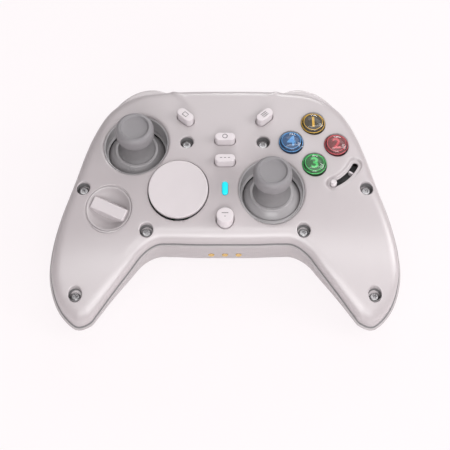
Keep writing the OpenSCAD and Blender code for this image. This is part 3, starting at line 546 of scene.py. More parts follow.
def crease(x, y):
    """Soft ridges that run down from the ends of the straight top edge and fade out."""
    off = distance_to(CREASE_LINE, np.abs(x), y) / CREASE_HALF
    fade = np.clip(1 - (TOP_Y - y) / CREASE_FADE, 0, 1)
    return CREASE_RISE * fade * np.exp(-off**2)


def inside(loop, x, y):
    """Whether points lie inside a closed loop."""
    odd = np.zeros(x.shape, dtype=bool)
    for (ax, ay), (bx, by) in zip(loop, np.roll(loop, -1, axis=0)):
        if ay != by:
            odd ^= ((ay > y) != (by > y)) & (x < (bx - ax) * (y - ay) / (by - ay) + ax)
    return odd


EDGE_STEPS = (0.08, 0.25, 0.5, 0.9, 1.4, 2.0, 2.8, 3.7, 4.8, 6.0, 7.2)
EASE_STEPS = (0.06, 0.18, 0.38, 0.66, 1.0)
RECESS_STEPS = (-0.9, -0.6, -0.3, 0, 0.3, 0.6)
RECESS_OUT = 0.5
RECESS_SLOPE = 1.1
GRID = 1.3
EDGE_CLEAR = 0.6
HOLE_CLEAR = 0.5
RECESS_CLEAR = 1.1
MERGE = 1e-5
rim = edge_loop(0)[::-1]


def rim_distance(x, y):
    return distance_to(np.vstack((rim, rim[:1])), x, y)


def plate_height(x, y, holes):
    """Height of the plate's skin, with its edge, recess and eased holes."""
    z = crown(x, y) - EDGE_DROP * (1 - rounding(rim_distance(x, y), EDGE_ROUND)) + crease(x, y)
    sunk = np.clip((RECESS_HALF + RECESS_OUT - distance_to(slider_spine, x, y)) / RECESS_SLOPE, 0, 1)
    sunk = sunk**2 * (3 - 2 * sunk)
    z = z * (1 - sunk) + np.minimum(z, SLIDER_Z) * sunk
    for spine, radius, ease, _ in holes:
        z = z - ease * (1 - rounding(distance_to(spine, x, y) - radius, ease))
    return z


def plate_spots(holes):
    """Points of the plate in plan: rows along its edges, and a grid between them."""
    loops = [edge_loop(-step) for step in EDGE_STEPS]
    for spine, radius, ease, _ in holes:
        loops += [capsule(spine, radius + step * ease) for step in EASE_STEPS]
    loops += [capsule(slider_spine, RECESS_HALF + step) for step in RECESS_STEPS]
    gx, gy = np.meshgrid(np.arange(-HALF_W, HALF_W, GRID), np.arange(TIP_Y, TOP_Y, GRID))
    gx, gy = gx.ravel(), gy.ravel()
    keep = inside(rim, gx, gy) & (rim_distance(gx, gy) > EDGE_STEPS[-1] + EDGE_CLEAR)
    for spine, radius, ease, _ in holes:
        keep &= distance_to(spine, gx, gy) > radius + ease + HOLE_CLEAR
    keep &= distance_to(slider_spine, gx, gy) > RECESS_HALF + RECESS_CLEAR
    return [tuple(p) for loop in loops for p in loop] + list(zip(gx[keep], gy[keep]))


def plate_skin():
    """Top of the plate, with a wall down from its rim and from each hole's edge."""
    holes = plate_holes()
    loops = [rim] + [capsule(spine, radius) for spine, radius, _, _ in holes]
    spots = [tuple(p) for loop in loops for p in loop] + plate_spots(holes)
    edges, base = [], 0
    for loop in loops:
        edges += [(base + k, base + (k + 1) % len(loop)) for k in range(len(loop))]
        base += len(loop)
    flat, _, triangles, origins, _, _ = delaunay_2d_cdt([Vector(p) for p in spots], edges, [], 0, MERGE)
    x, y = np.array([p.x for p in flat]), np.array([p.y for p in flat])
    triangles = np.array([t for t in triangles if len(t) == 3])
    cx, cy = x[triangles].mean(axis=1), y[triangles].mean(axis=1)
    keep = inside(rim, cx, cy)
    for loop in loops[1:]:
        keep &= ~inside(np.array(loop), cx, cy)
    points = [Vector(p) for p in zip(x, y, plate_height(x, y, holes))]
    faces = [tuple(t) for t in triangles[keep]]
    new_index = {old: new for new, olds in enumerate(origins) for old in olds}
    base = 0
    for loop, depth in zip(loops, [None] + [hole[3] for hole in holes]):
        tops = [new_index[base + k] for k in range(len(loop))]
        lows = range(len(points), len(points) + len(loop))
        for k in tops:
            p = points[k]
            low = seam_z(p.x, p.y) if depth is None else crown(p.x, p.y) - depth
            points.append(Vector((p.x, p.y, low)))
        for k in range(len(loop)):
            n = (k + 1) % len(loop)
            wall = (lows[k], lows[n], tops[n], tops[k])
            faces.append(wall if depth is None else wall[::-1])
        if depth == SCREW_DEPTH:
            faces.append(tuple(lows))
        base += len(loop)
    return points, faces


add("plate", "housing", shell_finish, *plate_skin(), replaced=["front_shell"], sharp=PLATE_SHARP)

# Painted shade: a dark strip at the foot of the groove between the plate and the rear housing, standing for
# the shadow in the seam
SEAM_LINE = (0.5, -0.4)
SEAM_DROP = 0.27
seam_loops = [[(*p, seam_z(*p) - SEAM_DROP) for p in edge_loop(out)[::-1]] for out in SEAM_LINE]
# The strip's dark grey is painted shade in the seam, not a part of the housing
add("seam_painted_shade", "housing", shade_finish, *stack(seam_loops, False, False))


# Rear housing: the same outline, closed below, cut for shoulder buttons, triggers, socket and contacts

RIB_SPLIT = 8
ROWS = 40
RIBS = TIP_AT * RIB_SPLIT
REAR_LIFT = 0.01
LIFT_FROM = 20
POCKET_X = (21.4, 48.6)
POCKET_Y = 38.9
BUMPER_S = (1.0, 3.25)
BUMPER_LOW = 30.7
BUMPER_CLEAR = 0.35
BAND_ENDS = (0.06, 0.16)
BAND_OUT = 9.0
BAND_IN = -4.6
BAND_DROP = 0.05
BEYOND = 70
BELOW = -1
CONTACT_GAP = 0.05
CONTACT_RUN = (-40, ARCH_Y + 4)
REST_PAD = (52.0, 24.0, 5.0)
REST_Y = 5.5


def rear_z(x, y, d, wall):
    """Height of a rear skin at distance d inside its edge."""
    top = seam_z(x, y) - SEAM
    bottom = REAR_RISE + REAR_LIFT * max(0, y - LIFT_FROM) ** 2 + wall
    return top - rounding(d, REAR_ROUND) * (top - bottom)


def rear_sheet(out, wall):
    """Points of a rear skin as rows from the upper to the lower edge, from left to right tip."""
    points = []
    for i in range(-RIBS, RIBS + 1):
        s, side = abs(i) / RIB_SPLIT, -1 if i < 0 else 1
        a, b = edge_at(s, out), edge_at(EDGE_END - s, out)
        if abs(i) == RIBS:
            points.append((side * a[0], a[1], rear_z(a[0], a[1], 0, wall)))
            continue
        across = b - a
        along = np.linalg.norm(across)
        lean_a = abs(np.cross(across / along, tangent(s)))
        lean_b = abs(np.cross(across / along, tangent(EDGE_END - s)))
        for j in range(ROWS + 1):
            v = (1 - math.cos(math.pi * j / ROWS)) / 2
            p = a + across * v
            d = min(along * v * lean_a, along * (1 - v) * lean_b)
            points.append((side * p[0], p[1], rear_z(p[0], p[1], d, wall)))
    return points


def sheet_index(i, j):
    if abs(i) == RIBS:
        return 0 if i < 0 else 1 + (2 * RIBS - 1) * (ROWS + 1)
    return 1 + (i + RIBS - 1) * (ROWS + 1) + j


def rear_skin():
    outer, inner = rear_sheet(REAR_LIP, 0), rear_sheet(REAR_LIP - REAR_WALL, REAR_WALL)
    faces = []
    for i in range(-RIBS, RIBS):
        for j in range(ROWS):
            corners = ((i, j), (i + 1, j), (i + 1, j + 1), (i, j + 1))
            ring = list(dict.fromkeys(sheet_index(*corner) for corner in corners))
            faces.append(tuple(ring))
            faces.append(tuple(k + len(outer) for k in reversed(ring)))
    loop = [sheet_index(i, 0) for i in range(-RIBS, RIBS + 1)]
    loop += [sheet_index(i, ROWS) for i in range(RIBS - 1, -RIBS, -1)]
    for k, n in zip(loop, loop[1:] + loop[:1]):
        faces.append((n, k, k + len(outer), n + len(outer)))
    return outer + inner, faces


def prism(loop, low, high):
    return stack([[(*p, z) for p in loop] for z in (low, high)])


def sideways(loop, y_low, y_high):
    """Prism along Y from a loop of (x, z) points."""
    return stack([[(p[0], y, p[1]) for p in loop] for y in (y_high, y_low)])


def box_loop(low, high):
    return [(low[0], low[1]), (high[0], low[1]), (high[0], high[1]), (low[0], high[1])]


def flipped(part):
    """Mirror image over the middle plane."""
    return [(-x, y, z) for x, y, z in part[0]], [face[::-1] for face in part[1]]


def both(part):
    return [part, flipped(part)]


def rear_cutters():
    """Openings for the triggers, shoulder buttons, socket and contacts."""
    low = BUMPER_LOW - BUMPER_CLEAR
    pocket = prism(box_loop((POCKET_X[0], POCKET_Y), (POCKET_X[1], BEYOND)), BELOW, low)
    run = np.linspace(BUMPER_S[0] - BAND_ENDS[0], BUMPER_S[1] + BAND_ENDS[1], 40)
    band = [edge_at(s, BAND_OUT) for s in run[::-1]] + [edge_at(s, BAND_IN) for s in run]
    start, end = (np.array(v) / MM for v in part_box("usb_socket"))
    x, y, z = (start + end) / 2
    length, _, width = end - start
    socket = capsule(bar_spine((x, z), length - width, 0), width / 2 + HOLE_GAP)
    cutters = both(pocket) + both(prism(band, low - BAND_DROP, BEYOND)) + [sideways(socket, y, BEYOND)]
    start, end = (np.array(v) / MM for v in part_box("charge_contacts"))
    z, radius = (start[2] + end[2]) / 2, (end[2] - start[2]) / 2
    for x in (start[0] + radius, 0, end[0] - radius):
        cutters.append(sideways(capsule([(x, z)], radius + CONTACT_GAP), *CONTACT_RUN))
    return cutters


def final_mesh(obj):
    """Mesh of an object with its modifiers or text settled."""
    return bpy.data.meshes.new_from_object(obj.evaluated_get(bpy.context.evaluated_depsgraph_get()))


def cut(obj, cutters):
    """Takes the cutters out of an object's mesh."""
    tools = []
    for cutter in cutters:
        tools.append(placed("cutter", mesh_of("cutter", *cutter)))
        step = obj.modifiers.new("cut", "BOOLEAN")
        step.object = tools[-1]
        step.solver = "EXACT"
    whole = final_mesh(obj)
    obj.modifiers.clear()
    obj.data = whole
    for tool in tools:
        bpy.data.objects.remove(tool)
    whole.set_sharp_from_angle(angle=math.radians(SHARP_ANGLE))


DOT_SCALE = 1150.0
DOT_SPREAD = 0.15
DOT_RELIEF = 0.6
DOT_DEPTH = -0.12
DOT_FADE = 0.012
grip_finish = moulded("shell_grip", "shell_plastic", REAR, 0.42, spread=0.008)


def dot_grip(material):
    """Fine raised dots on the hand grips, fading out towards the middle of the housing."""
    tree = material.node_tree
    dots = node(tree, "TexVoronoi", Scale=DOT_SCALE, Randomness=DOT_SPREAD)
    relief = bump(material, dots, "Distance", DOT_RELIEF, DOT_DEPTH)
    parts = node(tree, "SeparateXYZ")
    ramp = node(tree, "MapRange", From_Min=DOT_FADE, From_Max=-DOT_FADE, To_Max=DOT_RELIEF)
    ramp.interpolation_type = "SMOOTHSTEP"
    tree.links.new(place_socket(tree), parts.inputs["Vector"])
    tree.links.new(parts.outputs["Y"], ramp.inputs["Value"])
    tree.links.new(ramp.outputs["Result"], relief.inputs["Strength"])


dot_grip(grip_finish)
rear = add("rear_housing", "housing", grip_finish, *rear_skin(), replaced=["rear_shell"])
cut(rear, rear_cutters())


# Flat field under the rear housing, on which the part rests

REST_SECTION = [(0.9, 0.0), (0.15, 0.0, 0.3), (0, 0.6, 0.3), (0, 1.3)]
rest_loops = []
for inset, z in rounded_line(REST_SECTION, 4):
    loop = round_rect(REST_PAD[0] - 2 * inset, REST_PAD[1] - 2 * inset, REST_PAD[2] - inset)
    rest_loops.append([(x, REST_Y + y, z) for x, y in loop])
add("rest_field", "housing", shell_finish, *stack(rest_loops))


# Sticks: wear ring and lip of the well, cap with a dished top, neck and domed skirt; the neck's darker grey
# is painted shade under the cap

PIVOT_Z = 27.0
STICK_H = 28.5
CAP_R = 8.3
DOME_R = 14.4
RING_R = WELL_R - 0.05
RING_WALL = 0.7
RING_FOOT = 4.8
SKIRT_WALL = 1.2


def wear_ring(spot):
    """Ring that lines a well: its upper edge follows the plate, and its foot stays clear of the skirt."""
    section = rounded_line([
        (RING_R, -4.6), (RING_R, -0.75, 0.3), (RING_R - RING_WALL, -1.05, 0.4),
        (RING_R - RING_WALL, -4.2, 0.2), (RING_R - RING_WALL, -8.6),
    ])
    loops = []
    for radius, drop in section:
        loop = capsule([spot], radius, caps=24)
        loops.append([(p[0], p[1], max(crown(*p) + drop, PIVOT_Z + RING_FOOT)) for p in loop])
    return stack(loops, False, False)


def ball_line(radius, start, end, count):
    """Arc of (radius, height) points on a ball, between two angles from its pole."""
    angles = np.radians(np.linspace(start, end, count))
    return [(radius * math.sin(a), radius * math.cos(a)) for a in angles]


def skirt_profile():
    """Dome under the cap, with a raised collar round the neck."""
    dome = ball_line(DOME_R, 85, 44, 18)
    collar = rounded_line([
        dome[-1], (9.75, 10.75, 0.15), (9.5, 11.25, 0.3), (9.0, 11.35, 0.2), (8.7, 11.3, 0.2), (6.0, 11.3),
    ])
    return ball_line(DOME_R - SKIRT_WALL, 30, 85, 14) + dome + collar[1:]


NECK = rounded_line([
    (8.4, 11.2), (8.3, 11.9, 0.3), (7.3, 13.5, 1.4), (6.5, 16.4, 2.0), (6.3, 19.6, 1.6), (6.5, 21.8),
])
# Cap with a raised rim round a dished top
CAP = rounded_line([
    (5.0, 21.5), (6.6, 21.6, 0.3), (CAP_R - 0.5, 21.9, 0.5), (CAP_R, 22.7, 0.6),
    (CAP_R, STICK_H - 1.6, 0.9), (CAP_R - 0.9, STICK_H - 0.25, 0.8), (CAP_R - 1.9, STICK_H, 0.5),
    (CAP_R - 2.15, STICK_H - 0.1, 0.12), (CAP_R - 2.6, STICK_H - 0.75, 0.25),
    (CAP_R - 4.5, STICK_H - 1.05, 2.0), (0, STICK_H - 1.2),
])
# Ledge at the foot of a well, just clear of the skirt's ball
WELL_LIP = rounded_line([
    (RING_R - 0.3, 6.2), (RING_R - 0.3, 8.3, 0.2), (12.9, 8.2, 0.3), (12.6, 7.9, 0.15), (13.35, 6.6),
])

for side, spot in STICKS.items():
    add(f"{side}_ring", "housing", ring_finish, *wear_ring(spot), replaced=[f"{side}_stick_ring"])
    place = Matrix.Translation((*spot, PIVOT_Z))
    add(f"{side}_lip", "housing", ring_finish, *lathe(WELL_LIP, place))
    body = f"{side}_stick_lever"
    add(f"{side}_cap", body, stick_finish, *lathe(CAP, place), replaced=[f"{side}_stick_cap"])
    # The neck carries painted shade under the cap
    add(f"{side}_neck", body, neck_shade_finish, *lathe(NECK, place))
    add(f"{side}_skirt", body, skirt_finish, *lathe(skirt_profile(), place))


# Direction pad

DPAD_PROUD = 0.9
BRUSH_SCALE = (1500, 60, 60)
BRUSH_RELIEF = (0.12, 0.04)


def brushed(material):
    """Fine lines from top to bottom."""
    tree = material.node_tree
    stretch = node(tree, "Mapping", Scale=BRUSH_SCALE)
    lines = node(tree, "TexNoise", Scale=1.0, Detail=3.0)
    bump(material, lines, "Fac", *BRUSH_RELIEF)
    tree.links.new(lines.inputs["Vector"].links[0].from_socket, stretch.inputs["Vector"])
    tree.links.new(stretch.outputs["Vector"], lines.inputs["Vector"])


disc_finish = moulded("disc_satin", "key_plastic", DISC, 0.4, relief=0.08)
brushed(disc_finish)
disc = rounded_line([
    (DPAD_R - 1.4, -1.6), (DPAD_R - 0.2, -1.7, 0.2), (DPAD_R, -1.5, 0.2), (DPAD_R, DPAD_PROUD - 0.1, 0.55),
    (DPAD_R - 0.6, DPAD_PROUD, 0.5), (DPAD_R - 1.4, DPAD_PROUD - 0.06, 0.4), (0, DPAD_PROUD - 0.06),
])
pad = lathe(disc, square_on(*DPAD_AT), 128)
add("direction_disc", "dpad", disc_finish, *pad, replaced=["dpad_disc"])


# Small keys with plain printed signs

MARK_HALF = 0.18
MARK_RISE = 0.03
KEY_CROWN = 0.02


def key_shape(spine, radius, low, high):
    """Key with an eased upper edge, along a spine."""
    section = rounded_line([(0, low), (0, high - 0.1, 0.6), (0.6, high, 0.6), (1.4, high + KEY_CROWN)])
    loops = [[(*p, z) for p in capsule(spine, radius - inset)] for inset, z in section]
    return stack(loops, cap_low=False)


def mark(spines, z):
    """Thin printed lines along spines, at height z."""
    parts = []
    for spine in spines:
        loop = capsule(spine, MARK_HALF, caps=6)
        parts.append(stack([[(*p, h) for p in loop] for h in (z - MARK_RISE, z + MARK_RISE)]))
    return merged(parts)


def turned(points, at, turn):
    """Points turned about the origin and moved to a place."""
    c, s = math.cos(turn), math.sin(turn)
    return [(at[0] + c * x - s * y, at[1] + s * x + c * y) for x, y in points]


def key_marks(name, at, turn):
    """Plain signs: a square, three bars, a ring, three short dashes, a bar over a dot."""
    if name == "left_menu_button":
        return [turned([(-1.1, -0.9), (1.1, -0.9), (1.1, 0.9), (-1.1, 0.9), (-1.1, -0.9)], at, turn)]
    if name == "right_menu_button":
        return [turned([(-1.4, y), (1.4, y)], at, turn) for y in (-0.85, 0, 0.85)]
    if name == "home_button":
        ring = capsule([at], 1.0, caps=8)
        return [ring + ring[:1]]
    if name == "function_button":
        return [turned([(x - 0.35, 0), (x + 0.35, 0)], at, 0) for x in (-1.7, 0, 1.7)]
    return [turned([(-1.3, 0.9), (1.3, 0.9)], at, 0), turned([(0, -0.9), (0, -0.6)], at, 0)]


def small_key(name, body, spine, radius, turn):
    low, high = (v[2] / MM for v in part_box(name))
    add(f"{body}_cap", body, key_finish, *key_shape(spine, radius, low, high), replaced=[name])
    spines = key_marks(name, middle(name), turn)
    add(f"{body}_mark", body, mark_finish, *mark(spines, high + KEY_CROWN))


for name, (_, width, turn) in SMALL_KEYS.items():
    small_key(name, name.replace("_button", "_key"), key_spine(name), width / 2, math.radians(turn))
small_key("turbo_button", "turbo_key", [middle("turbo_button")], TURBO_R, 0)


# Face buttons: a coloured core with a lit digit under a clear dome, and thin glowing rings that are painted
# glints

FACE_PROUD = 4.2
DOME_RISE = 2.2
CAP_WALL = 0.8
FACE_LOW = -4.4
DIGIT_SIZE = 7.4
DIGIT_BOLD = 0.16
DIGIT_HALF = 0.015
DIGIT_LIFT = 0.025
LIT_MOTTLE = (0.06, 300)
CORE_MOTTLE = (0.12, 260)
CLEAR_POLISH = (0.04, 0.06, 60)
CAP_ROOF = 0.4
CORE_SUNK = 0.45
CORE_GAP = 0.05
CORE_LOW = -6.0
GLOW = 0.7
FACE_CORES = {
    "north": ("core_amber", (0.95, 0.56, 0.05), (0.16, 0.125, 0.085)),
    "east": ("core_red", (0.9, 0.11, 0.14), (0.55, 0.13, 0.14)),
    "south": ("core_green", (0.1, 0.86, 0.2), (0.08, 0.36, 0.11)),
    "west": ("core_blue", (0.15, 0.48, 0.97), (0.07, 0.21, 0.5)),
}
CLEAR_TINT = (0.05, 0.05, 0.05)
clear_finish = finish(
    "clear_cap", "clear_cap", CLEAR_TINT, 0.05, Alpha=0.3, Specular_IOR_Level=1.0,
    Coat_Weight=1.0, Coat_Roughness=0.03,
)
uneven(clear_finish, *CLEAR_POLISH)


def lit(name, slot, color, strength):
    """Plastic that is lit from behind; on the face keys' thin rings the same glow is a painted glint."""
    material = finish(name, slot, color, 0.3, Emission_Color=(*color, 1), Emission_Strength=strength)
    mottle(material, color, *LIT_MOTTLE)
    return material


def dome_profile():
    """Hollow cap with a domed top, from its inside over its foot to the top."""
    shoulder, inner = FACE_PROUD - DOME_RISE, FACE_R - CAP_WALL
    ball = (FACE_R**2 + DOME_RISE**2) / (2 * DOME_RISE)
    arc = math.asin(FACE_R / ball)
    low = shoulder - ball * math.cos(arc)
    top = [(ball * math.sin(a), low + ball * math.cos(a)) for a in np.linspace(arc * 0.93, 0, 14)]
    top[-1] = (0, FACE_PROUD)
    hollow = [(0, shoulder - CAP_ROOF), (inner, shoulder - CAP_ROOF), (inner, FACE_LOW), (FACE_R, FACE_LOW)]
    return hollow + rounded_line([(FACE_R, FACE_LOW), (FACE_R, shoulder, 0.4), top[0]])[1:] + top[1:]


def tube(place, radius, z, half):
    """Thin ring of round section."""
    turns = np.linspace(0, 2 * math.pi, 9)
    section = [(radius + half * math.cos(a), z + half * math.sin(a)) for a in turns]
    return lathe(section, place, 64)


def digit(text, at, z):
    """Plain digit, lying flat, centred on a place."""
    curve = bpy.data.curves.new("digit", "FONT")
    curve.body = text
    curve.size = DIGIT_SIZE * MM
    curve.extrude = DIGIT_HALF * MM
    curve.offset = DIGIT_BOLD * MM
    obj = placed("digit", curve)
    mesh = final_mesh(obj)
    spots = np.array([v.co for v in mesh.vertices]) / MM
    centre = (spots.min(axis=0) + spots.max(axis=0)) / 2
    points = spots - centre + (*at, z)
    faces = [tuple(face.vertices) for face in mesh.polygons]
    bpy.data.objects.remove(obj)
    bpy.data.meshes.remove(mesh)
    return points, faces


for number, key in enumerate(FACE_KEYS, 1):
    at, body = middle(f"{key}_cap"), f"{key}_button"
    place = upright(*at)
    slot, bright, deep = FACE_CORES[key]
    core_finish = finish(f"{key}_core_tint", slot, deep, 0.7, Specular_IOR_Level=0.1)
    mottle(core_finish, deep, *CORE_MOTTLE)
    # Glow of the lit digit, also used as painted glints on the thin rings
    glow_and_glint_finish = lit(f"{key}_glow_and_painted_glint", slot, bright, GLOW)
    core_r, core_top = FACE_R - CAP_WALL - CORE_GAP, FACE_PROUD - DOME_RISE - CORE_SUNK
    core = rounded_line([(core_r, CORE_LOW), (core_r, core_top, 0.25), (3.6, core_top), (0, core_top)])
    add(f"{key}_dome", body, clear_finish, *lathe(dome_profile(), place, 72), replaced=[f"{key}_cap"])
    add(f"{key}_tint", body, core_finish, *lathe(core, place, 64), replaced=[f"{key}_core"])
    # Two thin glowing rings, at the core's edge and at the dome's foot: painted glints of light in the
    # clear dome
    lines = [tube(place, core_r - 0.07, core_top - 0.02, 0.1), tube(place, FACE_R - 0.02, 0.35, 0.07)]
    add(f"{key}_lines", body, glow_and_glint_finish, *merged(lines))
    sign = digit(str(number), at, crown(*at) + core_top + DIGIT_LIFT)
    add(f"{key}_digit", body, glow_and_glint_finish, *sign)


# Light window

CYAN = (0.012, 0.6, 0.72)
light_finish = lit("light_cyan", "light", CYAN, 0.38)
light_loops = []
for inset, z in rounded_line([(0, -4.8), (0, 0.1, 0.3), (0.4, 0.25, 0.3), (0.8, 0.28)]):
    loop = capsule(bar_spine((0, 0), LIGHT[0] - LIGHT[1], math.pi / 2), LIGHT[1] / 2 - inset)
    light_loops.append([square_on(*middle("light_pipe")) @ Vector((*p, z)) for p in loop])
add("light_window", "housing", light_finish, *stack(light_loops), replaced=["light_pipe"])


# Mode dial: a dish with a finger bar

DIAL_DISH = 4.2
DIAL_RIM = 0.6
DIAL_LEDGE = 7.6
DIAL_BAR = (16.0, 5.2)
DIAL_TURN = math.radians(-27)
DIAL_SUNK = 0.15


def dial_parts():
    """Dish with a ledge round its floor, and the finger bar across it."""
    place, bar_place = square_on(*DIAL_AT, -DIAL_SUNK), square_on(*DIAL_AT, -DIAL_SUNK, DIAL_TURN)
    bowl = rounded_line([
        (DIAL_R, -6.8), (DIAL_R, 0, 0.15), (DIAL_R - DIAL_RIM, -0.05, 0.4),
        (DIAL_LEDGE + 0.5, 0.5 - DIAL_DISH / 2, 0.9), (DIAL_LEDGE, -DIAL_DISH / 2, 0.25),
        (DIAL_LEDGE - 1.8, -0.85 * DIAL_DISH, 1.6), (2.5, -DIAL_DISH, 1.6), (0, -DIAL_DISH),
    ])
    section = rounded_line([(-1.1, -DIAL_DISH - 0.4), (0, -0.1, 0.2), (0.2, 0.12, 0.2), (1.2, 0.12)], 5)
    bar_loops = []
    for inset, z in section:
        loop = round_rect(DIAL_BAR[0] - 2 * inset, DIAL_BAR[1] - 2 * inset, 0.5)
        bar_loops.append([bar_place @ Vector((*p, z)) for p in loop])
    return lathe(bowl, place), stack(bar_loops, cap_low=False)


dish, bar = dial_parts()
# The dish's darker grey is painted shade in the bowl
add("dial_dish", "dial", dish_shade_finish, *dish, replaced=["mode_dial"])
add("dial_bar", "dial", disc_finish, *bar)
# Fixed ring in the gap between the plate and the dial
inner, outer = DIAL_R + 0.12, DIAL_R + 0.85
collar = rounded_line([(outer, -2.6), (outer, -0.7, 0.1), (inner, -0.55, 0.1), (inner, -2.6)])
add("dial_collar", "housing", shell_finish, *lathe(collar, square_on(*DIAL_AT)))


# Slider knob and the tick in its slot

knob_place = Matrix.Translation((*middle("slider_knob"), SLIDER_Z))
knob = rounded_line([
    (1.0, -2.8), (1.0, 0.3), (1.45, 0.35, 0.1), (1.45, 1.9, 0.4), (1.1, 2.3, 0.4), (0.7, 2.2, 0.2),
    (0, 2.15),
])
add("knob", "slider", key_finish, *lathe(knob, knob_place, 48), replaced=["slider_knob"])
TICK_AT = slider_spine[18]
TICK = (2 * SLOT_HALF - 0.1, 0.8)
tick_turn = math.atan2(TICK_AT[1] - UPPER[1], TICK_AT[0] - UPPER[0])
tick_loops = []
for inset, z in rounded_line([(0, -3.3), (0, -0.9, 0.15), (0.2, -0.75, 0.15), (0.3, -0.75)], 3):
    loop = round_rect(TICK[0] - 2 * inset, TICK[1] - 2 * inset, 0.1, 3)
    tick_loops.append([(*p, SLIDER_Z + z) for p in turned(loop, TICK_AT, tick_turn)])
add("slider_tick", "housing", key_finish, *stack(tick_loops))


# Screws with a six-lobed drive

HEAD_R = 2.1
HEAD_H = 1.5
LOBES = 6
LOBE_DEPTH = 0.2
SHANK = [(1.25, -9.0), (1.25, 0.0)]


def screw(at):
    """Head of a screw in its counterbore."""
    base = crown(*at) - SCREW_DEPTH
    lobes = np.linspace(0, 2 * math.pi, 72, endpoint=False)
    head = [(HEAD_R, 0.0), (HEAD_R, HEAD_H - 0.3, 0.3), (HEAD_R - 0.5, HEAD_H, 0.3), (1.45, HEAD_H)]
    rows = rounded_line(head, 4)
    for share, z in ((1.05, HEAD_H), (1.0, HEAD_H - 0.08), (0.97, 0.6), (0.3, 0.5)):
        rows.append((share * (1.0 + LOBE_DEPTH * np.cos(LOBES * lobes)), z))
    loops = []
    for reach, z in rows:
        x, y = at[0] + reach * np.cos(lobes), at[1] + reach * np.sin(lobes)
        loops.append([(*p, base + z) for p in zip(x, y)])
    return stack(loops)


def liner(at):
    """Dark sleeve and floor of a counterbore, painted shade inside the hole."""
    radius, low = COUNTERBORE_R - 0.06, 0.03 - SCREW_DEPTH
    section = rounded_line([(radius, -0.75), (radius, low, 0.2), (1.2, low)])
    return lathe([(radius + 0.03, low - 0.02), (radius + 0.03, -0.78)] + section, upright(*at), 56)


# Dark sleeves in the counterbores: painted shade round the screw heads
add("counterbore_painted_shade", "housing", shade_finish, *merged([liner(at) for at in SCREWS]))
shanks = [lathe(SHANK, upright(*at, -SCREW_DEPTH), 24) for at in SCREWS]
heads = [screw(at) for at in SCREWS]
add("screws", "housing", steel_finish, *merged(heads + shanks), replaced=["housing_screws"])


# Shoulder buttons: swelling strips along the plate's upper corners

BUMPER_IN = -2.5
BUMPER_SWELL = 4.8
SWELL_SKEW = 0.6
SWELL_POWER = 1.4
BUMPER_TOP_GAP = 0.45
BUMPER_PIN = (24.5, 44.5)
BUMPER_BORE = 1.27
KNUCKLE_R = 2.5
KNUCKLE_H = 6.0
END_EASE = ((0.0, 0.5), (0.003, 0.2), (0.008, 0.06), (0.015, 0.0))


def bumper_section(t, inset):
    """Section of the strip at share t of its run."""
    s = BUMPER_S[0] + (BUMPER_S[1] - BUMPER_S[0]) * t
    swell = abs(math.sin(math.pi * t**SWELL_SKEW)) ** SWELL_POWER
    out = REAR_LIP + BUMPER_SWELL * swell - inset
    low, top = BUMPER_LOW + inset, seam_z(*outline(s)) - BUMPER_TOP_GAP - inset
    line = rounded_line([(BUMPER_IN, low), (out, low, 1.1), (out, top, 1.7), (BUMPER_IN, top)])
    return [(*edge_at(s, o), z) for o, z in line]


def bumper_shape():
    """Strip of a shoulder button, with the knuckle that its pin goes through."""
    run = list(END_EASE) + [(t, 0.0) for t in np.linspace(0.03, 0.97, 48)]
    run += [(1 - t, inset) for t, inset in END_EASE[::-1]]
    strip = stack([bumper_section(t, inset) for t, inset in run])
    ring = rounded_line([
        (BUMPER_BORE, 0), (KNUCKLE_R, 0, 0.2), (KNUCKLE_R, KNUCKLE_H, 0.2), (BUMPER_BORE, KNUCKLE_H),
        (BUMPER_BORE, 0),
    ])
    return merged([strip, lathe(ring, Matrix.Translation((*BUMPER_PIN, BUMPER_LOW)), 40)])


# Triggers: hooked finger levers on cross pins

HUB = (42.4, 24.8)
HUB_R = 3.2
HUB_X = (30.1, 44.2)
HUB_BORE = 1.56
FINGER_X = (22.4, 47.4)
FINGER_BACK = 46.5
FINGER_FRONT = 54.2
FINGER_TOP = 28.0
FINGER_LOW = 13.7
FINGER_ROUND = 5.0
FINGER_EASE = ((0, 0.8), (0.1, 0.45), (0.35, 0.15), (0.8, 0))
ROUND_END = 84
ROUND_INSET = 0.7
RIDGE_ROUND = 1.5
HUB_LAP = 0.1
HUB_FOOT = (45.6, 15.8)


def finger_loop():
    """Side view of the finger as (y, z), counter-clockwise seen from the right."""
    brow, hollow = arc_spine((50.0, 25.6), 2.4, 90, -75), arc_spine((68.0, 14.2), 16.4, 150, 44)
    line = [(FINGER_BACK, FINGER_TOP)] + brow
    line += rounded_line([brow[-1], (*hollow[0], RIDGE_ROUND), hollow[4]])[1:-1] + hollow[4:]
    line += arc_spine((51.0, 7.2), 1.5, -20, -140)
    line.append((FINGER_BACK, FINGER_LOW))
    return np.array(line[::-1])


def shrunk(loop, inset):
    """Loop moved inwards by a small distance."""
    along = np.roll(loop, -1, axis=0) - np.roll(loop, 1, axis=0)
    along /= np.linalg.norm(along, axis=1)[:, None]
    return loop + inset * np.column_stack((-along[:, 1], along[:, 0]))


def trigger_shape():
    """Finger of a trigger, from its inner side to its rounded outer end."""
    loop = finger_loop()
    run = [(FINGER_X[0] + x, inset, 1.0) for x, inset in FINGER_EASE]
    for share in np.linspace(0, 1, 15):
        a = math.radians(ROUND_END * share)
        reach = 1 - FINGER_ROUND * (1 - math.cos(a)) / (FINGER_FRONT - FINGER_BACK)
        run.append((FINGER_X[1] - FINGER_ROUND * (1 - math.sin(a)), ROUND_INSET * share**4, reach))
    loops = []
    for x, inset, reach in run:
        loops.append([(x, FINGER_BACK + reach * (y - FINGER_BACK), z) for y, z in shrunk(loop, inset)])
    return stack(loops)


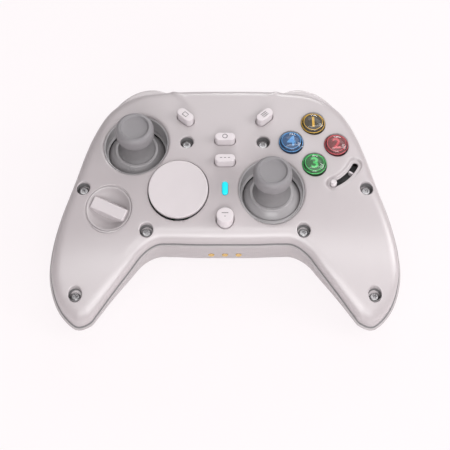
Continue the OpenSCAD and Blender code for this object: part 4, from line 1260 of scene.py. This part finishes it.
def hub_shape():
    """Web behind the finger that holds the bore of its pin."""
    back = FINGER_BACK + HUB_LAP
    loop = [(back, FINGER_LOW), (back, FINGER_TOP)] + arc_spine(HUB, HUB_R, 90, 125) + [HUB_FOOT]
    return stack([[(x, *p) for p in loop] for x in HUB_X])


bore_loop = capsule([HUB], HUB_BORE)
hub_bore = stack([[(x, *p) for p in bore_loop] for x in (HUB_X[0] - 1, HUB_X[1] + 1)])
for side, turned_over in (("left", flipped), ("right", lambda part: part)):
    strip, lever, hub = (turned_over(part) for part in (bumper_shape(), trigger_shape(), hub_shape()))
    add(f"{side}_shoulder_strip", f"{side}_shoulder", gloss_finish, *strip, replaced=[f"{side}_bumper"])
    add(f"{side}_finger", f"{side}_lever", gloss_finish, *lever, replaced=[f"{side}_trigger"])
    cut(add(f"{side}_hub", f"{side}_lever", gloss_finish, *hub), [turned_over(hub_bore)])


# Pieces that stay as they are get the finish of their slot

SLOT_FINISH = {material["slot"]: material for material in (
    shell_finish, key_finish, gloss_finish, stick_finish, dark_finish, inner_finish, steel_finish,
    board_finish, battery_finish, silicone_finish, gold_finish,
)}
for part in frame["record"]["subparts"]:
    if part["material_slot"] in SLOT_FINISH:
        for holder in frame["nodes"][part["node"]].material_slots:
            holder.material = SLOT_FINISH[part["material_slot"]]


# Camera, floor and light; the lamps are in metres

TARGET = Vector((0.0, -16.6, 36.0)) * MM
DISTANCE = 500 * MM
ELEVATION = math.radians(60)
FOCUS_PX = 1162
FRAME_PX = 450
SENSOR = 36

eye = TARGET + DISTANCE * Vector((0, -math.cos(ELEVATION), math.sin(ELEVATION)))
lens = bpy.data.cameras.new("camera")
lens.sensor_width = SENSOR
lens.lens = SENSOR * FOCUS_PX / FRAME_PX
camera = placed("camera", lens)
camera.location = eye
camera.rotation_euler = (TARGET - eye).to_track_quat("-Z", "Y").to_euler()
bpy.context.scene.camera = camera
bpy.context.scene.view_settings.view_transform = "Standard"

PAPER = (0.98, 0.932, 0.946)
PAPER_SHARE = 0.92
FLOOR_HALF = 3000.0
FLOOR_Z = -0.2


def paper():
    """Pale floor: mostly its own colour where it is seen directly, and it still takes a soft shadow."""
    material = finish("paper", "stage", PAPER, 0.9)
    tree = material.node_tree
    shader = tree.nodes["Principled BSDF"]
    glow = node(tree, "Emission", Color=(*PAPER, 1))
    ray = node(tree, "LightPath")
    seen = node(tree, "Math", operation="MAXIMUM")
    share = node(tree, "Math", operation="MULTIPLY")
    share.inputs[1].default_value = PAPER_SHARE
    mix = node(tree, "MixShader")
    for start, end in (
        (ray.outputs["Is Camera Ray"], seen.inputs[0]), (ray.outputs["Is Glossy Ray"], seen.inputs[1]),
        (seen.outputs["Value"], share.inputs[0]), (share.outputs["Value"], mix.inputs["Fac"]),
        (shader.outputs["BSDF"], mix.inputs[1]), (glow.outputs["Emission"], mix.inputs[2]),
        (mix.outputs["Shader"], tree.nodes["Material Output"].inputs["Surface"]),
    ):
        tree.links.new(start, end)
    return material


floor_loop = box_loop((-FLOOR_HALF, -FLOOR_HALF), (FLOOR_HALF, FLOOR_HALF))
floor_mesh = mesh_of("floor", [(*p, FLOOR_Z) for p in floor_loop], [(0, 1, 2, 3)])
floor_mesh.materials.append(paper())
floor = placed("floor", floor_mesh)

SKY = (1.0, 0.97, 0.98)
SKY_STRENGTH = 0.12
LAMP_TARGET = Vector((0, 0, 0.02))

world = bpy.data.worlds.new("studio")
world.use_nodes = True
fill(world.node_tree.nodes["Background"], Color=(*SKY, 1), Strength=SKY_STRENGTH)
bpy.context.scene.world = world


def lamp(name, place, size, power):
    """Lamp that faces the part; size is its width and height."""
    data = bpy.data.lights.new(name, "AREA")
    data.shape = "RECTANGLE"
    data.size, data.size_y = size
    data.energy = power
    obj = placed(name, data)
    obj.location = place
    obj.rotation_euler = (LAMP_TARGET - Vector(place)).to_track_quat("-Z", "Y").to_euler()


lamp("low_front", (0.02, -0.87, 0.5), (0.7, 0.4), 4.9)
lamp("front", (0.0, -0.62, 0.76), (1.8, 0.4), 3.0)
lamp("back", (0.2, 0.5, 0.87), (1.5, 0.5), 3.7)
lamp("right", (0.85, -0.1, 0.55), (0.5, 0.5), 5.0)
lamp("grips", (0.05, -0.4, 0.92), (1.5, 0.2), 4.0)
lamp("rim", (0.15, 0.88, 0.46), (0.5, 0.16), 3.0)
